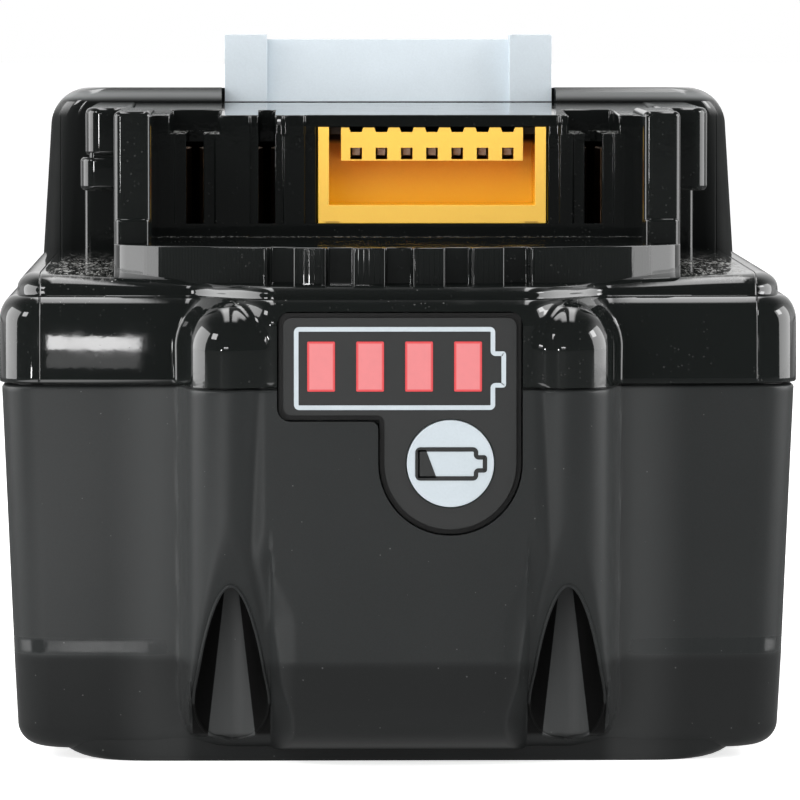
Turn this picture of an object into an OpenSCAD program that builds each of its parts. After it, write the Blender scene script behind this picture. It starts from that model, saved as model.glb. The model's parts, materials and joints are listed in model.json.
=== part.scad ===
// Slide-on battery pack for a cordless tool, ten cells in two layers of five.
// The origin is the middle of the base. +Z is up, -Y is the gauge end, +Y is the release end.

/* [Cells] */
// Diameter of one cell
cell_d = 18.3; // [16.5:0.1:20]
// Length of one cell
cell_len = 65; // [60:0.5:70]
// Gap between neighbouring cells
cell_gap = 0.5; // [0.4:0.1:1.2]
// Skin of a cell frame outside the cells
frame_skin = 0.7; // [0.5:0.1:1]
// How far a cell frame grips each cell end
frame_grip = 11; // [6:0.5:14]
// Thickness of the deck on top of the cell frames
deck_t = 1.2; // [0.8:0.1:1.2]
// Thickness of the welded link strips
strip_t = 0.2; // [0.15:0.05:0.3]
// Width of the link strips
strip_w = 11; // [7:0.5:13]
// Thickness of the insulating side sheets
sheet_t = 0.3; // [0.2:0.1:0.5]

/* [Case] */
// Wall of both case halves
wall = 1.8; // [1.6:0.1:2.2]
// Thickness of the floor
floor_t = 2.2; // [1.6:0.1:2.6]
// Height of the raised foot under the floor
foot_h = 1.05; // [0.6:0.05:1.6]
// Width of the flat of the foot
foot_w = 56.4; // [40:0.2:60]
// Height of the seam between the halves
seam_z = 36.3; // [34.5:0.1:38]
// Open groove at the seam
seam_gap = 0.9; // [0.4:0.1:1.2]
// Height of the lip that locates the halves
lip_h = 1.6; // [1:0.1:2]
// Depth of the lip behind the outer face
lip_in = 1; // [0.6:0.1:1.2]
// How far the upper rim stands out past the lower half
rim_over = 0.2; // [0:0.05:0.5]
// Room between the side sheets and the case
end_room = 1.5; // [1:0.1:3]
// How far the side walls lean out up to the seam
side_lean = 1.5; // [0.8:0.1:2.4]
// Rounding of the front corners in plan
corner_r = 3.8; // [2.5:0.1:5]
// Rounding of the rear corners in plan
rear_r = 7; // [4:0.5:9]
// Rounding of the lower edge
low_r = 2.4; // [1.2:0.1:3]
// Height of the crease round the lower half
crease_z = 11.8; // [8:0.1:14]
// Lean of the wall below the crease, run over rise
crease_lean = 0.16; // [0.05:0.01:0.22]
// Depth of the side panels behind the columns
front_set = 7.4; // [6.6:0.1:9]
// How far the side panels curve back towards the corners
side_bow = 1.4; // [0.6:0.1:1.8]
// Room in front of the cells
front_room = 2.2; // [2:0.1:3]
// Room behind the cells for the rear screw bosses
rear_room = 7.3; // [7.2:0.1:9]
// Room between the frame deck and the platform
lid_room = 1.85; // [1.2:0.05:2.4]
// Height of the rounded shoulder below the platform
shoulder_h = 2.4; // [1.6:0.1:3]
// Height of the platform step
step_h = 2.1; // [1.4:0.1:2.6]
// Inset of the platform step
step_in = 1.6; // [1:0.1:2]

/* [Screw columns] */
// Distance of a front column from the middle
col_x = 15.9; // [15.6:0.1:18]
// Radius of a front column
col_r = 4.3; // [4.2:0.1:4.8]
// Top of the column dome below the platform
dome_drop = 2.6; // [1.8:0.1:4]
// Radius of the front driver bores
bore_r = 3.6; // [3:0.1:3.7]
// Radius of the rear driver bores
rear_bore_r = 2.4; // [2.3:0.1:2.5]
// Distance of a rear screw from the middle
rear_screw_x = 26; // [20:0.5:27]
// Height at which a driver bore breaks out of its column
tear_top = 17.5; // [13:0.1:19]
// Lean of the column below that height, run over rise
tear_lean = 0.34; // [0.2:0.005:0.36]
// Height over which the front tucks under to one straight edge
chin_h = 5; // [3:0.1:7]
// Depth of the driver bores
bore_depth = 20; // [19.5:0.5:22]
// Shank radius of the case screws
shank_r = 1.5; // [1.2:0.1:1.8]
// Head radius of the case screws
head_r = 2.2; // [1.9:0.1:2.2]

/* [Rail] */
// Width over the rail walls
block_w = 54.4; // [53:0.1:56]
// Height of the rail above the platform
rail_h = 15.3; // [14:0.1:18]
// Overhang of each flange
flange_over = 3.8; // [2.5:0.1:4.4]
// Gap under the flanges
flange_gap = 7.1; // [5:0.1:9]
// Thickness of the two front posts
post_t = 3.6; // [2.4:0.1:5]
// Depth of the open bay between the posts
bay_depth = 20.5; // [14:0.5:22]
// Length of the flanges
flange_l = 38.5; // [37:0.5:41]
// Height of the skirt under the bay
skirt_h = 2.6; // [1.6:0.1:3.6]
// Depth of the skirt's curved front
skirt_bow = 10.1; // [8:0.1:10.5]
// Number of skirt notches
notch_count = 5; // [3:1:7]
// Width of a skirt notch
notch_w = 2.6; // [1.5:0.1:3.2]
// Spacing of the skirt notches
notch_pitch = 5.65; // [4.5:0.05:6]
// Depth of a skirt notch
notch_depth = 1.2; // [0.6:0.1:2]

/* [Hump] */
// Height of the rear hump above the platform
hump_h = 16.8; // [16:0.1:19]
// Length of the rear hump
hump_l = 40; // [38:0.5:42]
// Inset of the hump from the rim
hump_in = 1.9; // [1.8:0.1:3]
// Lean of each hump side
hump_lean = 0.9; // [0.3:0.1:1.5]
// Rounding along the hump's upper edges
hump_r = 4; // [2:0.1:5]

/* [Latch] */
// Width of the latch hook
hook_w = 34.2; // [28:0.2:36]
// Height of the hook above the rail
hook_h = 6.9; // [5:0.1:7]
// Thickness of the hook
hook_t = 5; // [4:0.1:6]
// Width of the two end posts of the hook
hook_post = 4.4; // [3:0.1:6]
// Distance of the hook behind the hump's front
hook_back = 4.5; // [3.5:0.1:6]
// Height of the guided carriage under the hook
carriage_h = 8; // [7:0.1:8.2]
// Width of the arm to the release button
arm_w = 16; // [10:0.5:20]
// Height of the arm to the release button
arm_h = 4; // [3:0.1:4.5]
// Width of the release button
release_w = 27.6; // [24:0.2:32]
// Height of the release button
release_h = 10; // [9:0.1:11]
// Thickness of the release button
release_t = 4.6; // [3.6:0.1:5]
// Distance of each latch spring from the middle
spring_x = 11; // [9:0.5:13]
// Mean radius of a latch spring
spring_r = 1.7; // [1.4:0.1:1.8]
// Wire radius of a latch spring
wire_r = 0.25; // [0.2:0.05:0.3]
// Number of curls in a latch spring
spring_curls = 7; // [5:1:8]

/* [Terminals] */
// Distance of the two power terminals from the middle
term_x = 19.7; // [19:0.1:20.2]
// Distance of the sense terminal from the middle
sense_x = 12.6; // [12.2:0.1:13]
// Width of a terminal slot
slot_w = 1.6; // [1.2:0.1:1.8]
// Width of the head of a power slot
slot_head_w = 4.5; // [3.4:0.1:4.6]
// Depth of the head of a slot
slot_head_h = 2.6; // [2.2:0.1:3.2]
// Length of the slots along the rail
slot_l = 16; // [12:0.5:18]
// Middle of the signal connector
conn_x = 3.75; // [3.4:0.05:4]
// Width of the signal connector
conn_w = 22.5; // [21:0.1:22.8]
// Height of the signal connector
conn_h = 9.5; // [9:0.1:9.8]
// Length of the signal connector
conn_l = 15; // [12:0.5:17]
// Depth of the connector's socket
socket_depth = 10; // [7:0.5:11]
// Number of signal ways
ways = 7; // [4:1:7]
// Spacing of the signal ways
way_pitch = 2.5; // [2:0.05:2.6]

/* [Gauge] */
// Width of the gauge label
label_w = 21.9; // [21:0.1:22.2]
// Height of the wide part of the label
label_h = 9.15; // [8:0.05:9.6]
// Top of the label below the platform
label_drop = 3.8; // [3.6:0.1:5]
// Thickness of the label
label_t = 0.3; // [0.2:0.05:0.4]
// Radius of the label's button lobe
lobe_r = 6.2; // [5.2:0.1:6.4]
// Drop of the check button below the label's top
button_drop = 13.7; // [13:0.1:15]
// Radius of the check button
button_r = 4.1; // [3.2:0.1:4.6]
// Travel of the check button
button_travel = 0.6; // [0.3:0.05:0.8]
// Width of the groove round the label
groove_w = 0.6; // [0.4:0.05:0.6]
// Number of charge windows
windows = 4; // [3:1:4]
// Width of a charge window
window_w = 2.6; // [2:0.1:3]
// Height of a charge window
window_h = 4.7; // [3.6:0.1:5]
// Spacing of the charge windows
window_pitch = 4.6; // [4:0.1:4.8]
// Distance of the window row left of the middle
window_off = 0.5; // [0:0.1:0.8]

/* [Boards] */
// Thickness of the circuit boards
board_t = 1.6; // [1:0.1:1.8]
// Room between a board and the rail walls
board_room = 2.4; // [1:0.1:3]
// Height of the charge lights
led_h = 1.1; // [0.8:0.1:1.4]
// Height of the check switch body
switch_h = 3.5; // [3:0.1:3.6]

/* [Fits] */
// Clearance of parts that slide
slide_gap = 0.3; // [0.2:0.05:0.4]
// Clearance of parts that are seated
seat_gap = 0.15; // [0.1:0.05:0.2]

/* [Hidden] */
$fn = 32;

// Cell block
groups = 5;
layers = 2;
pitch = cell_d + cell_gap;
cell_r = cell_d / 2;
block_l = groups * pitch - cell_gap;
cell_end = cell_len / 2;
nub_h = 0.4;
nub_r = 3.3;
ring_t = 0.3;

// Lower half: widths, lengths and heights
floor_hw = cell_end + strip_t + sheet_t + end_room + wall;
seam_hw = floor_hw + side_lean;
rim_hw = seam_hw + rim_over;
front_lean = 1;
rear_lean = 1;
body_l = front_set + front_lean + wall + front_room + block_l + rear_room + wall + rear_lean;
y_front = -body_l / 2;
y_rear = body_l / 2;
panel_back = 0.6;
panel_share = 0.3;
tuck_share = 0.96;
y_panel = y_front + panel_back;
y_side = y_front + front_set;
cells_y = y_side + front_lean + wall + front_room;
floor_in = foot_h + floor_t;
function cell_y(g) = cells_y + cell_r + g * pitch;
function cell_z(l) = floor_in + seat_gap + frame_skin + cell_r + l * pitch;
function valley_y(g) = (cell_y(g) + cell_y(g + 1)) / 2;

// Upper half
deck_gap = 0.5;
deck_z = cell_z(layers - 1) + cell_r + deck_gap + deck_t;
plat_in = deck_z + lid_room;
plat_z = plat_in + wall;
rim_z = seam_z + seam_gap;
shoulder_z = plat_z - step_h;
shoulder_in = step_in - 0.1;
rail_z = plat_z + rail_h;
flange_z = plat_z + flange_gap;
roof_z = rail_z - wall;
hump_z = plat_z + hump_h;
y_hump = y_rear - hump_l;
y_bay = y_hump - flange_l;
y_post = y_bay - bay_depth;
hump_rear = y_rear - step_in;
hump_back = 5;
block_hw = block_w / 2;
flange_hw = block_hw + flange_over;

// Front columns and screws
col_y = y_front + col_r;
bore_back = bore_r + 1.35;
bore_y = y_front + bore_back;
bore_front = bore_y - bore_r;
dome_z = plat_z - dome_drop - col_r;
rear_boss_r = rear_bore_r + 0.6;
rear_screw_y = cells_y + block_l + frame_skin + 0.3 + rear_boss_r;
head_h = 2;
screw_bite = 4.2;
screw_spots = [for (s = [-1, 1]) each [[s * col_x, bore_y], [s * rear_screw_x, rear_screw_y]]];

// Latch
latch_travel = hook_h + 0.1;
y_hook = y_hump + hook_back;
hook_top = rail_z + hook_h;
carriage_top = roof_z - slide_gap;
carriage_z = carriage_top - carriage_h;
carriage_hw = hook_w / 2 + 1.8;
arm_z = carriage_z + 1.2;
release_gap = 0.4;
release_top = hump_z - wall - release_gap - slide_gap;
release_z = release_top - release_h;
well_z = release_z - latch_travel - release_gap;
well_hw = release_w / 2 + slide_gap;
well_y = hump_rear - 5.4;
y_release = well_y + slide_gap;
spring_y = y_hook + hook_t / 2;
spring_seat = deck_z;
spring_pocket = 5;
spring_top = carriage_z + spring_pocket;

// Gauge
label_top = plat_z - label_drop;
label_low = label_top - label_h;
button_z = label_top - button_drop;
lobe_x = label_w / 2 - lobe_r;
label_y = y_panel + 0.3;
bezel_y = label_y + label_t;
flange_y = y_panel + wall + seat_gap;
bezel_flange_t = 1;
gauge_board_y = y_panel + 6.6;
bay_hw = label_w / 2 + groove_w + 0.8;
bay_z = button_z - lobe_r - groove_w - 0.8;
window_z = label_top - label_h / 2;
function window_x(i) = (i - (windows - 1) / 2) * window_pitch - window_off;

// Boards
board_z = deck_z + strip_t;
board_top = board_z + board_t;
board_hw = block_hw - wall - board_room;
board_y0 = y_bay + wall + 0.9;
board_y1 = y_hump - wall - 0.9;
gauge_board_t = board_t - 0.4;
clip_base = 2.2;
sense_base = 1.6;
board_screw_rows = [[(term_x - clip_base + sense_x + sense_base) / 2, valley_y(1)], [board_hw - 5, valley_y(2)]];
board_screw_spots = [for (p = board_screw_rows, s = [-1, 1]) [s * p.x, p.y]];
board_shank_r = 1;
board_head_r = 1.5;
boss_h = 4;
board_screw_l = board_t + strip_t + boss_h - 0.6;
chip_x = 7;
parts_y = board_y1 - 5.5;
ribbon_w = 8;
tab_w = 4;
tab_x = board_hw - 2.5;
frame_split = 0.2;
plunger_r = 1.6;
plunger_in = 0.5;
plunger_y = gauge_board_y - switch_h - 1.1;
curl_rings = 8;
arm_seat = 2;

// Connector and terminals
conn_top = roof_z - 0.1;
conn_z = conn_top - conn_h;
y_conn = y_bay + 0.2;
lip_t = 1.8;
tongue_t = 2.6;
tongue_w = (ways - 1) * way_pitch + 3.3;
tongue_z = conn_top - 0.8 - tongue_t;
way_hole = 1.07;
way_z = tongue_z + 0.95;
term_top = rail_z - slot_head_h - 1.5;

// Shared functions
function smooth(t) = let (u = max(0, min(1, t))) u * u * (3 - 2 * u);
function mix(a, b, t) = a + (b - a) * t;
function arc(c, r, a0, a1, n) = [for (i = [0:n]) let (a = mix(a0, a1, i / n)) c + r * [cos(a), sin(a)]];

// Stations across the front face: panel, column and side panel
side_end = rim_hw - corner_r - step_in;
panel_hw = col_x - col_r + 0.2;
flank_hw = col_x + col_r;
front_x = concat([panel_hw - 1], [for (i = [1:8]) col_x - (col_r - 0.05) * cos(22.5 * i)],
  [for (t = [0.08, 0.35, 0.7]) mix(flank_hw, side_end, t)]);

// Depth of the plain front at x: middle panel, flank, bowed side panel
function front_base(x, panel, side, half) = mix(panel, side, smooth((x - half) / (flank_hw - half)))
  + side_bow * pow(max(0, x - flank_hw) / (rim_hw - flank_hw), 2);

// Depth of a round column of radius r at x, far behind when x misses it
function column_y(x, crown, r, back) = let (u = abs(x - col_x))
  u < r ? crown + back - sqrt(r * r - u * u) : y_rear;

// Lower front: the wall leans in below the crease, then panel and columns tuck under to the side panels
function crease_in(z) = max(0, crease_z - z) * crease_lean;
function tuck(z) = let (u = max(0, 1 - (z - foot_h) / chin_h)) tuck_share * (1 - sqrt(max(0, 1 - u * u)));
function side_y(z) = y_side + front_lean * (seam_z - z) / seam_z + crease_in(z);
function crown_y(z) = z > tear_top
  ? mix(bore_front, y_front, (z - tear_top) / (seam_z - tear_top))
  : mix(bore_front + (tear_top - z) * tear_lean, side_y(z), tuck(z));
function panel_y(z) = mix(y_panel + panel_share * crease_in(z), side_y(z), tuck(z));
function lower_front(x, z) = let (half = mix(panel_hw, panel_hw - 3.4, smooth((bay_z - z) / 8)))
  min(front_base(x, panel_y(z), side_y(z), half), column_y(x, crown_y(z), col_r, col_r));

// Closed outline at height z from its right half, front to rear
function ring_at(half, z) = concat([for (p = half) [p.x, p.y, z]],
  [for (i = [len(half) - 1:-1:0]) [-half[i].x, half[i].y, z]]);
function half_outline(front, hw, rear, inset) = let (cx = hw - corner_r - inset, cy = front[len(front) - 1].y)
  concat(front, arc([cx, cy + side_bow / 3 + corner_r], corner_r, -80, 0, 4),
    arc([hw - inset - rear_r, rear - inset - rear_r], rear_r, 0, 90, 5));

// Insets that round the lower edge, the shoulder and the platform edge
function low_in(z) = let (u = max(0, foot_h + low_r - z)) low_r - sqrt(max(0, low_r * low_r - u * u));
lower_z = concat([foot_h / 2], [for (a = [0, 25, 45, 65, 90]) foot_h + chin_h * (1 - cos(a))],
  [crease_z - 0.6, crease_z + 0.6, tear_top, (tear_top + seam_z) / 2, seam_z + 1]);
function lower_ring(z, inset) = ring_at(half_outline([for (x = front_x) [x, lower_front(x, z) + inset]],
  floor_hw + side_lean * (z - foot_h) / (seam_z - foot_h),
  y_rear - rear_lean * (seam_z - z) / (seam_z - foot_h), inset), z);
function upper_ring(z, inset) = ring_at(half_outline([for (x = front_x)
  [x, front_base(x, y_panel, y_side, panel_hw) + inset]], rim_hw, y_rear, inset), z);

// Solid through a stack of rings that have equal counts of points
module loft(rings) {
  n = len(rings[0]);
  m = len(rings);
  sides = [for (k = [0:m - 2], i = [0:n - 1]) let (j = (i + 1) % n)
    each [[k * n + i, k * n + n + i, k * n + n + j], [k * n + i, k * n + n + j, k * n + j]]];
  caps = [[for (i = [0:n - 1]) i], [for (i = [n - 1:-1:0]) (m - 1) * n + i]];
  polyhedron([for (r = rings) each r], concat(caps, sides), convexity = 10);
}

// What lies between two heights
module slab(z0, z1) {
  intersection() {
    union() children();
    span([-2 * rim_hw, 2 * y_front, z0], [2 * rim_hw, 2 * y_rear, z1]);
  }
}

// Block between two corners
module span(a, b) {
  translate(a) cube(b - a);
}

// Upright block with rounded vertical edges
module soft_block(a, b, r) {
  translate([0, 0, a.z]) linear_extrude(b.z - a.z) polygon(concat(
    arc([a.x + r, a.y + r], r, 180, 270, 3), arc([b.x - r, a.y + r], r, 270, 360, 3),
    arc([b.x - r, b.y - r], r, 0, 90, 3), arc([a.x + r, b.y - r], r, 90, 180, 3)));
}

// Extrudes a drawing in X and Z along +Y from y0 to y1
module along_y(y0, y1) {
  translate([0, y1, 0]) rotate([90, 0, 0]) linear_extrude(y1 - y0) children();
}

// Rod along Y
module rod_y(x, z, r, y0, y1) {
  translate([x, y0, z]) rotate([-90, 0, 0]) cylinder(r = r, h = y1 - y0);
}

// Rod along X
module rod_x(p, r, h) {
  translate(p) rotate([0, 90, 0]) cylinder(r = r, h = h);
}

// Label outline: a wide bar with a round lobe under its right end, grown by g
module label_shape(g) {
  translate([-label_w / 2 - g, label_low - g]) square([label_w + 2 * g, label_h + 2 * g]);
  translate([lobe_x, button_z]) circle(lobe_r + g);
  translate([lobe_x - lobe_r - g, button_z]) square([2 * (lobe_r + g), label_low - button_z]);
}

// Room for the cells and boards in the lower half
module lower_room(z1) {
  f0 = y_side + front_lean + side_bow + wall;
  f1 = y_side + side_bow + wall;
  rooms = [for (s = [[floor_in, floor_hw, f0, y_rear - rear_lean], [z1, seam_hw, f1, y_rear]])
    let (hw = s[1] - wall, r = 2.5, y0 = s[2], y1 = s[3] - wall)
    [[hw - r, y0, s[0]], [hw, y0 + r, s[0]], [hw, y1 - r, s[0]], [hw - r, y1, s[0]],
     [r - hw, y1, s[0]], [-hw, y1 - r, s[0]], [-hw, y0 + r, s[0]], [r - hw, y0, s[0]]]];
  loft(rooms);
}

// Outline of the lower half at the seam, drawn in by inset
module seam_shape(inset) {
  polygon([for (p = lower_ring(seam_z, inset)) [p.x, p.y]]);
}

// Foot under the floor, with sloping flanks
module foot() {
  hw = foot_w / 2;
  side = hw + 4.2;
  rise = 1.4 * foot_h;
  along_y(side_y(foot_h) + low_r / 2, y_rear - rear_lean - low_r)
    polygon([[-hw, 0], [hw, 0], [side, rise], [side, 2 * foot_h], [-side, 2 * foot_h], [-side, rise]]);
}

module lower_case() {
  color("#3c3e3f") difference() {
    union() {
      slab(foot_h, seam_z) loft([for (z = lower_z) lower_ring(z, low_in(z))]);
      translate([0, 0, seam_z - 1]) linear_extrude(seam_gap + lip_h + 1) seam_shape(lip_in);
      foot();
    }
    difference() {
      lower_room(rim_z + lip_h + 1);
      for (s = [-1, 1]) {
        translate([s * rear_screw_x, rear_screw_y, 0]) cylinder(r = rear_boss_r, h = seam_z);
      }
    }
    span([-bay_hw, y_panel + wall, bay_z], [bay_hw, y_side + 5, rim_z + lip_h + 1]);
    span([-panel_hw + 2, y_panel + wall + 1.6, foot_h + chin_h], [panel_hw - 2, y_side + 5, bay_z + 1]);
    along_y(y_front - 1, y_panel + wall + 1) label_shape(groove_w);
    for (p = screw_spots) {
      translate([p.x, p.y, -1]) cylinder(r = p.y < 0 ? bore_r : rear_bore_r, h = bore_depth + 1);
      translate([p.x, p.y, 0]) cylinder(r = shank_r + seat_gap, h = rim_z + lip_h + 1);
    }
  }
}

// Skirt outline: a curved front under the bay
module skirt_shape() {
  bow_r = (block_hw * block_hw + skirt_bow * skirt_bow) / (2 * skirt_bow);
  edge = asin(block_hw / bow_r);
  y0 = y_post - 1.5 - skirt_bow;
  difference() {
    polygon(concat(arc([0, y0 + bow_r], bow_r, -90 - edge, -90 + edge, 24),
      [[block_hw, y_bay + 2], [-block_hw, y_bay + 2]]));
    for (i = [0:notch_count - 1]) {
      x = (i - (notch_count - 1) / 2) * notch_pitch;
      translate([0, y0 + bow_r]) rotate(asin(x / bow_r))
        translate([-notch_w / 2, -bow_r - 1]) square([notch_w, notch_depth + 1]);
    }
  }
}

// Hump outline across, then along
module hump_shape() {
  hw = rim_hw - hump_in;
  top = hw - hump_lean;
  polygon(concat([[-hw, plat_in], [hw, plat_in]], arc([top - hump_r, hump_z - hump_r], hump_r, 0, 90, 6),
    arc([hump_r - top, hump_z - hump_r], hump_r, 90, 180, 6)));
}

module hump_side() {
  edge = 1.5;
  back = 6;
  lean = 2.4;
  polygon(concat([[hump_rear, plat_in]], arc([hump_rear - lean - back, hump_z - back], back, 0, 90, 6),
    arc([y_hump + edge, hump_z - edge], edge, 90, 180, 4), [[y_hump, plat_in]]));
}

// Whole outside of the upper half
module upper_outside() {
  slab(rim_z, plat_z) {
    loft(concat([upper_ring(rim_z - 1, 0)], [for (a = [0, 25, 50, 70, 90])
      upper_ring(shoulder_z - shoulder_h * (1 - sin(a)), shoulder_in * (1 - cos(a)))],
      [for (s = [[shoulder_z + 0.05, 0], [plat_z - 1.2, 0], [plat_z - 0.4, 0.35], [plat_z + 0.6, 2.4]])
        upper_ring(s[0], step_in + s[1])]));
    for (s = [0, 1]) {
      mirror([s, 0, 0]) translate([col_x, col_y, dome_z]) rotate(100) {
        translate([0, 0, rim_z - 1 - dome_z]) cylinder(r = col_r, h = dome_z - rim_z + 1);
        intersection() {
          sphere(r = col_r);
          translate([-2 * col_r, -2 * col_r, 0]) cube(4 * col_r);
        }
      }
    }
  }
  translate([0, 0, plat_in]) linear_extrude(plat_z + skirt_h - plat_in) skirt_shape();
  for (s = [0, 1]) {
    mirror([s, 0, 0]) {
      soft_block([block_hw - post_t, y_post, plat_in], [block_hw, y_bay + 3, rail_z], 0.5);
      soft_block([block_hw - 3, y_bay, flange_z], [flange_hw, y_hump + 3, rail_z], 0.6);
      soft_block([block_hw - 3, y_hump - 2.5, plat_in], [flange_hw + 0.6, y_hump + 3, flange_z + 1], 0.6);
    }
  }
  soft_block([-block_hw, y_bay, plat_in], [block_hw, y_hump + 3, rail_z], 0.5);
  intersection() {
    along_y(y_hump - 1, y_rear) hump_shape();
    rotate([90, 0, 90]) linear_extrude(2 * rim_hw, center = true) hump_side();
  }
}

// Rooms inside the upper half
module upper_rooms() {
  hw = rim_hw - wall;
  f = y_side + side_bow + wall;
  r = rear_r - wall;
  soft_block([-hw, f, rim_z - 1], [hw, y_rear - wall, shoulder_z - shoulder_h], r);
  soft_block([step_in - hw, f + step_in, rim_z - 1], [hw - step_in, y_rear - wall - step_in, plat_in], r);
  span([-bay_hw, y_panel + wall, rim_z - 1], [bay_hw, f + step_in + 0.5, label_top + groove_w + 0.7]);
  span([wall - block_hw, y_bay + wall, plat_in - 1], [block_hw - wall, y_hump - wall, roof_z]);
  hump_hw = rim_hw - hump_in - hump_lean - hump_r + 1;
  span([-hump_hw, y_hump + wall, plat_in - 1], [hump_hw, y_hook + hook_t + 1, roof_z]);
  span([-hump_hw, y_hook + hook_t + 0.5, plat_in - 1], [hump_hw, hump_rear - hump_back, hump_z - wall]);
}

// Bosses, guides and walls that stand in those rooms
module upper_ribs() {
  guide_hw = carriage_hw + slide_gap;
  for (s = [-1, 1]) {
    translate([s * rear_screw_x, rear_screw_y, rim_z]) cylinder(r = rear_boss_r, h = plat_in - rim_z + 1);
    span([s * (guide_hw + 0.8) - 0.8, y_hook - slide_gap, plat_in + 2],
      [s * (guide_hw + 0.8) + 0.8, y_hook + hook_t + slide_gap, roof_z + 0.5]);
    span([s * term_x - slot_head_w / 2 - 1, y_bay + 0.5, term_top + slide_gap],
      [s * term_x + slot_head_w / 2 + 1, y_bay + slot_l + 1, roof_z + 0.5]);
  }
  span([-sense_x - slot_head_w / 2, y_bay + 0.5, term_top + slide_gap],
    [-sense_x + slot_head_w / 2, y_bay + slot_l + 1, roof_z + 0.5]);
  span([-well_hw - wall, well_y - wall, well_z - wall], [well_hw + wall, y_rear - wall - 0.5, plat_in + 0.5]);
  span([-well_hw - wall, well_y - wall, plat_in],
    [well_hw + wall, hump_rear - hump_back + 0.5, hump_z - wall + 0.5]);
}

// Slots, windows and wells that open the upper half to the outside
module upper_cuts() {
  hook_hw = hook_w / 2 + slide_gap;
  span([-hook_hw, y_hook - slide_gap, roof_z - 1], [hook_hw, y_hook + hook_t + slide_gap, hump_z + 1]);
  span([-hook_hw, y_hump - 1, rail_z], [hook_hw, y_hook + 1, hump_z + 1]);
  soft_block([-well_hw, well_y, well_z], [well_hw, y_rear + 4, hump_z - wall - slide_gap], 0.8);
  span([-arm_w / 2 - slide_gap, well_y - wall - 1, arm_z - latch_travel - slide_gap],
    [arm_w / 2 + slide_gap, well_y + 1, arm_z + arm_h + slide_gap]);
  for (x = [-term_x, term_x]) {
    soft_block([x - slot_head_w / 2, y_bay - 1, rail_z - slot_head_h],
      [x + slot_head_w / 2, y_bay + slot_l, rail_z + 1], 0.4);
  }
  soft_block([-sense_x - slot_w, y_bay - 1, rail_z - slot_head_h],
    [-sense_x + slot_w, y_bay + slot_l, rail_z + 1], 0.4);
  for (x = [-term_x, term_x, -sense_x]) {
    span([x - slot_w / 2, y_bay - 1, plat_z + skirt_h + 1.4], [x + slot_w / 2, y_bay + slot_l - 1, rail_z]);
  }
  span([conn_x - conn_w / 2 - seat_gap, y_bay - 1, conn_z - seat_gap],
    [conn_x + conn_w / 2 + seat_gap, y_bay + wall + 1, conn_top + 0.05]);
  along_y(y_front - 1, y_panel + wall + 1) label_shape(groove_w);
  translate([0, 0, rim_z - 1]) linear_extrude(lip_h + 1) seam_shape(lip_in - seat_gap);
  for (p = screw_spots) {
    translate([p.x, p.y, rim_z - 1]) cylinder(r = shank_r + 0.05, h = lip_h + screw_bite + 1);
  }
}

module upper_case() {
  color("#17191a") difference() {
    union() {
      difference() {
        upper_outside();
        upper_rooms();
      }
      upper_ribs();
    }
    upper_cuts();
  }
}

// Fasteners
module case_screws() {
  recess = 1.2;
  color("#8d9196") for (p = screw_spots) {
    translate([p.x, p.y, bore_depth - head_h]) difference() {
      union() {
        cylinder(r = head_r, h = head_h);
        cylinder(r = shank_r, h = rim_z + lip_h + screw_bite - bore_depth + head_h - 0.4);
      }
      translate([0, 0, -1]) linear_extrude(recess + 1) {
        circle(r = head_r * 0.4);
        for (a = [0:60:300]) {
          rotate(a) translate([head_r * 0.42, 0]) circle(r = head_r * 0.13);
        }
      }
    }
  }
}

module board_screws() {
  color("#a9adb0") for (p = board_screw_spots) {
    translate([p.x, p.y, board_top]) cylinder(r = board_head_r, h = 1.2);
    translate([p.x, p.y, board_top - board_screw_l]) cylinder(r = board_shank_r, h = board_screw_l);
  }
}

// Latch hook: guided carriage, two end posts, ramped web and the arm to the release button
module latch_hook() {
  y1 = y_hook + hook_t;
  color("#d7e1e8") difference() {
    union() {
      span([-carriage_hw, y_hook, carriage_z], [carriage_hw, y1, carriage_top]);
      for (s = [-1, 1]) {
        span([s * (hook_w - hook_post) / 2 - hook_post / 2, y_hook, carriage_top - 1],
          [s * (hook_w - hook_post) / 2 + hook_post / 2, y1, hook_top]);
      }
      rotate([90, 0, 90]) linear_extrude(hook_w - hook_post, center = true)
        polygon([[y_hook + hook_t * 0.2, carriage_top - 1], [y1, carriage_top - 1], [y1, hook_top - 0.5],
          [y_hook + hook_t * 0.45, hook_top - 0.5], [y_hook + hook_t * 0.2, rail_z]]);
      span([-arm_w / 2, y1 - 1, arm_z], [arm_w / 2, y_release + arm_seat, arm_z + arm_h]);
    }
    for (s = [-1, 1]) {
      translate([s * spring_x, spring_y, carriage_z - 1])
        cylinder(r = spring_r + wire_r + 0.2, h = spring_pocket + 1);
    }
  }
}

// Release button with finger ridges, pushed onto the end of the arm
module release_button() {
  y1 = y_release + release_t;
  ridges = 4;
  rise = (release_h - 2) / ridges;
  teeth = [for (i = [0:ridges - 1]) let (z = release_z + 1 + i * rise)
    each [[y1 - 0.7, z], [y1, z + rise * 0.3], [y1 - 0.7, z + rise * 0.9]]];
  color("#b3262b") difference() {
    rotate([90, 0, 90]) linear_extrude(release_w, center = true)
      polygon(concat([[y_release, release_z], [y1 - 1.4, release_z]], teeth,
        [[y1 - 1.4, release_top], [y_release, release_top]]));
    span([-arm_w / 2 - seat_gap, y_release - 1, arm_z - seat_gap],
      [arm_w / 2 + seat_gap, y_release + arm_seat, arm_z + arm_h + seat_gap]);
  }
}

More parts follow.
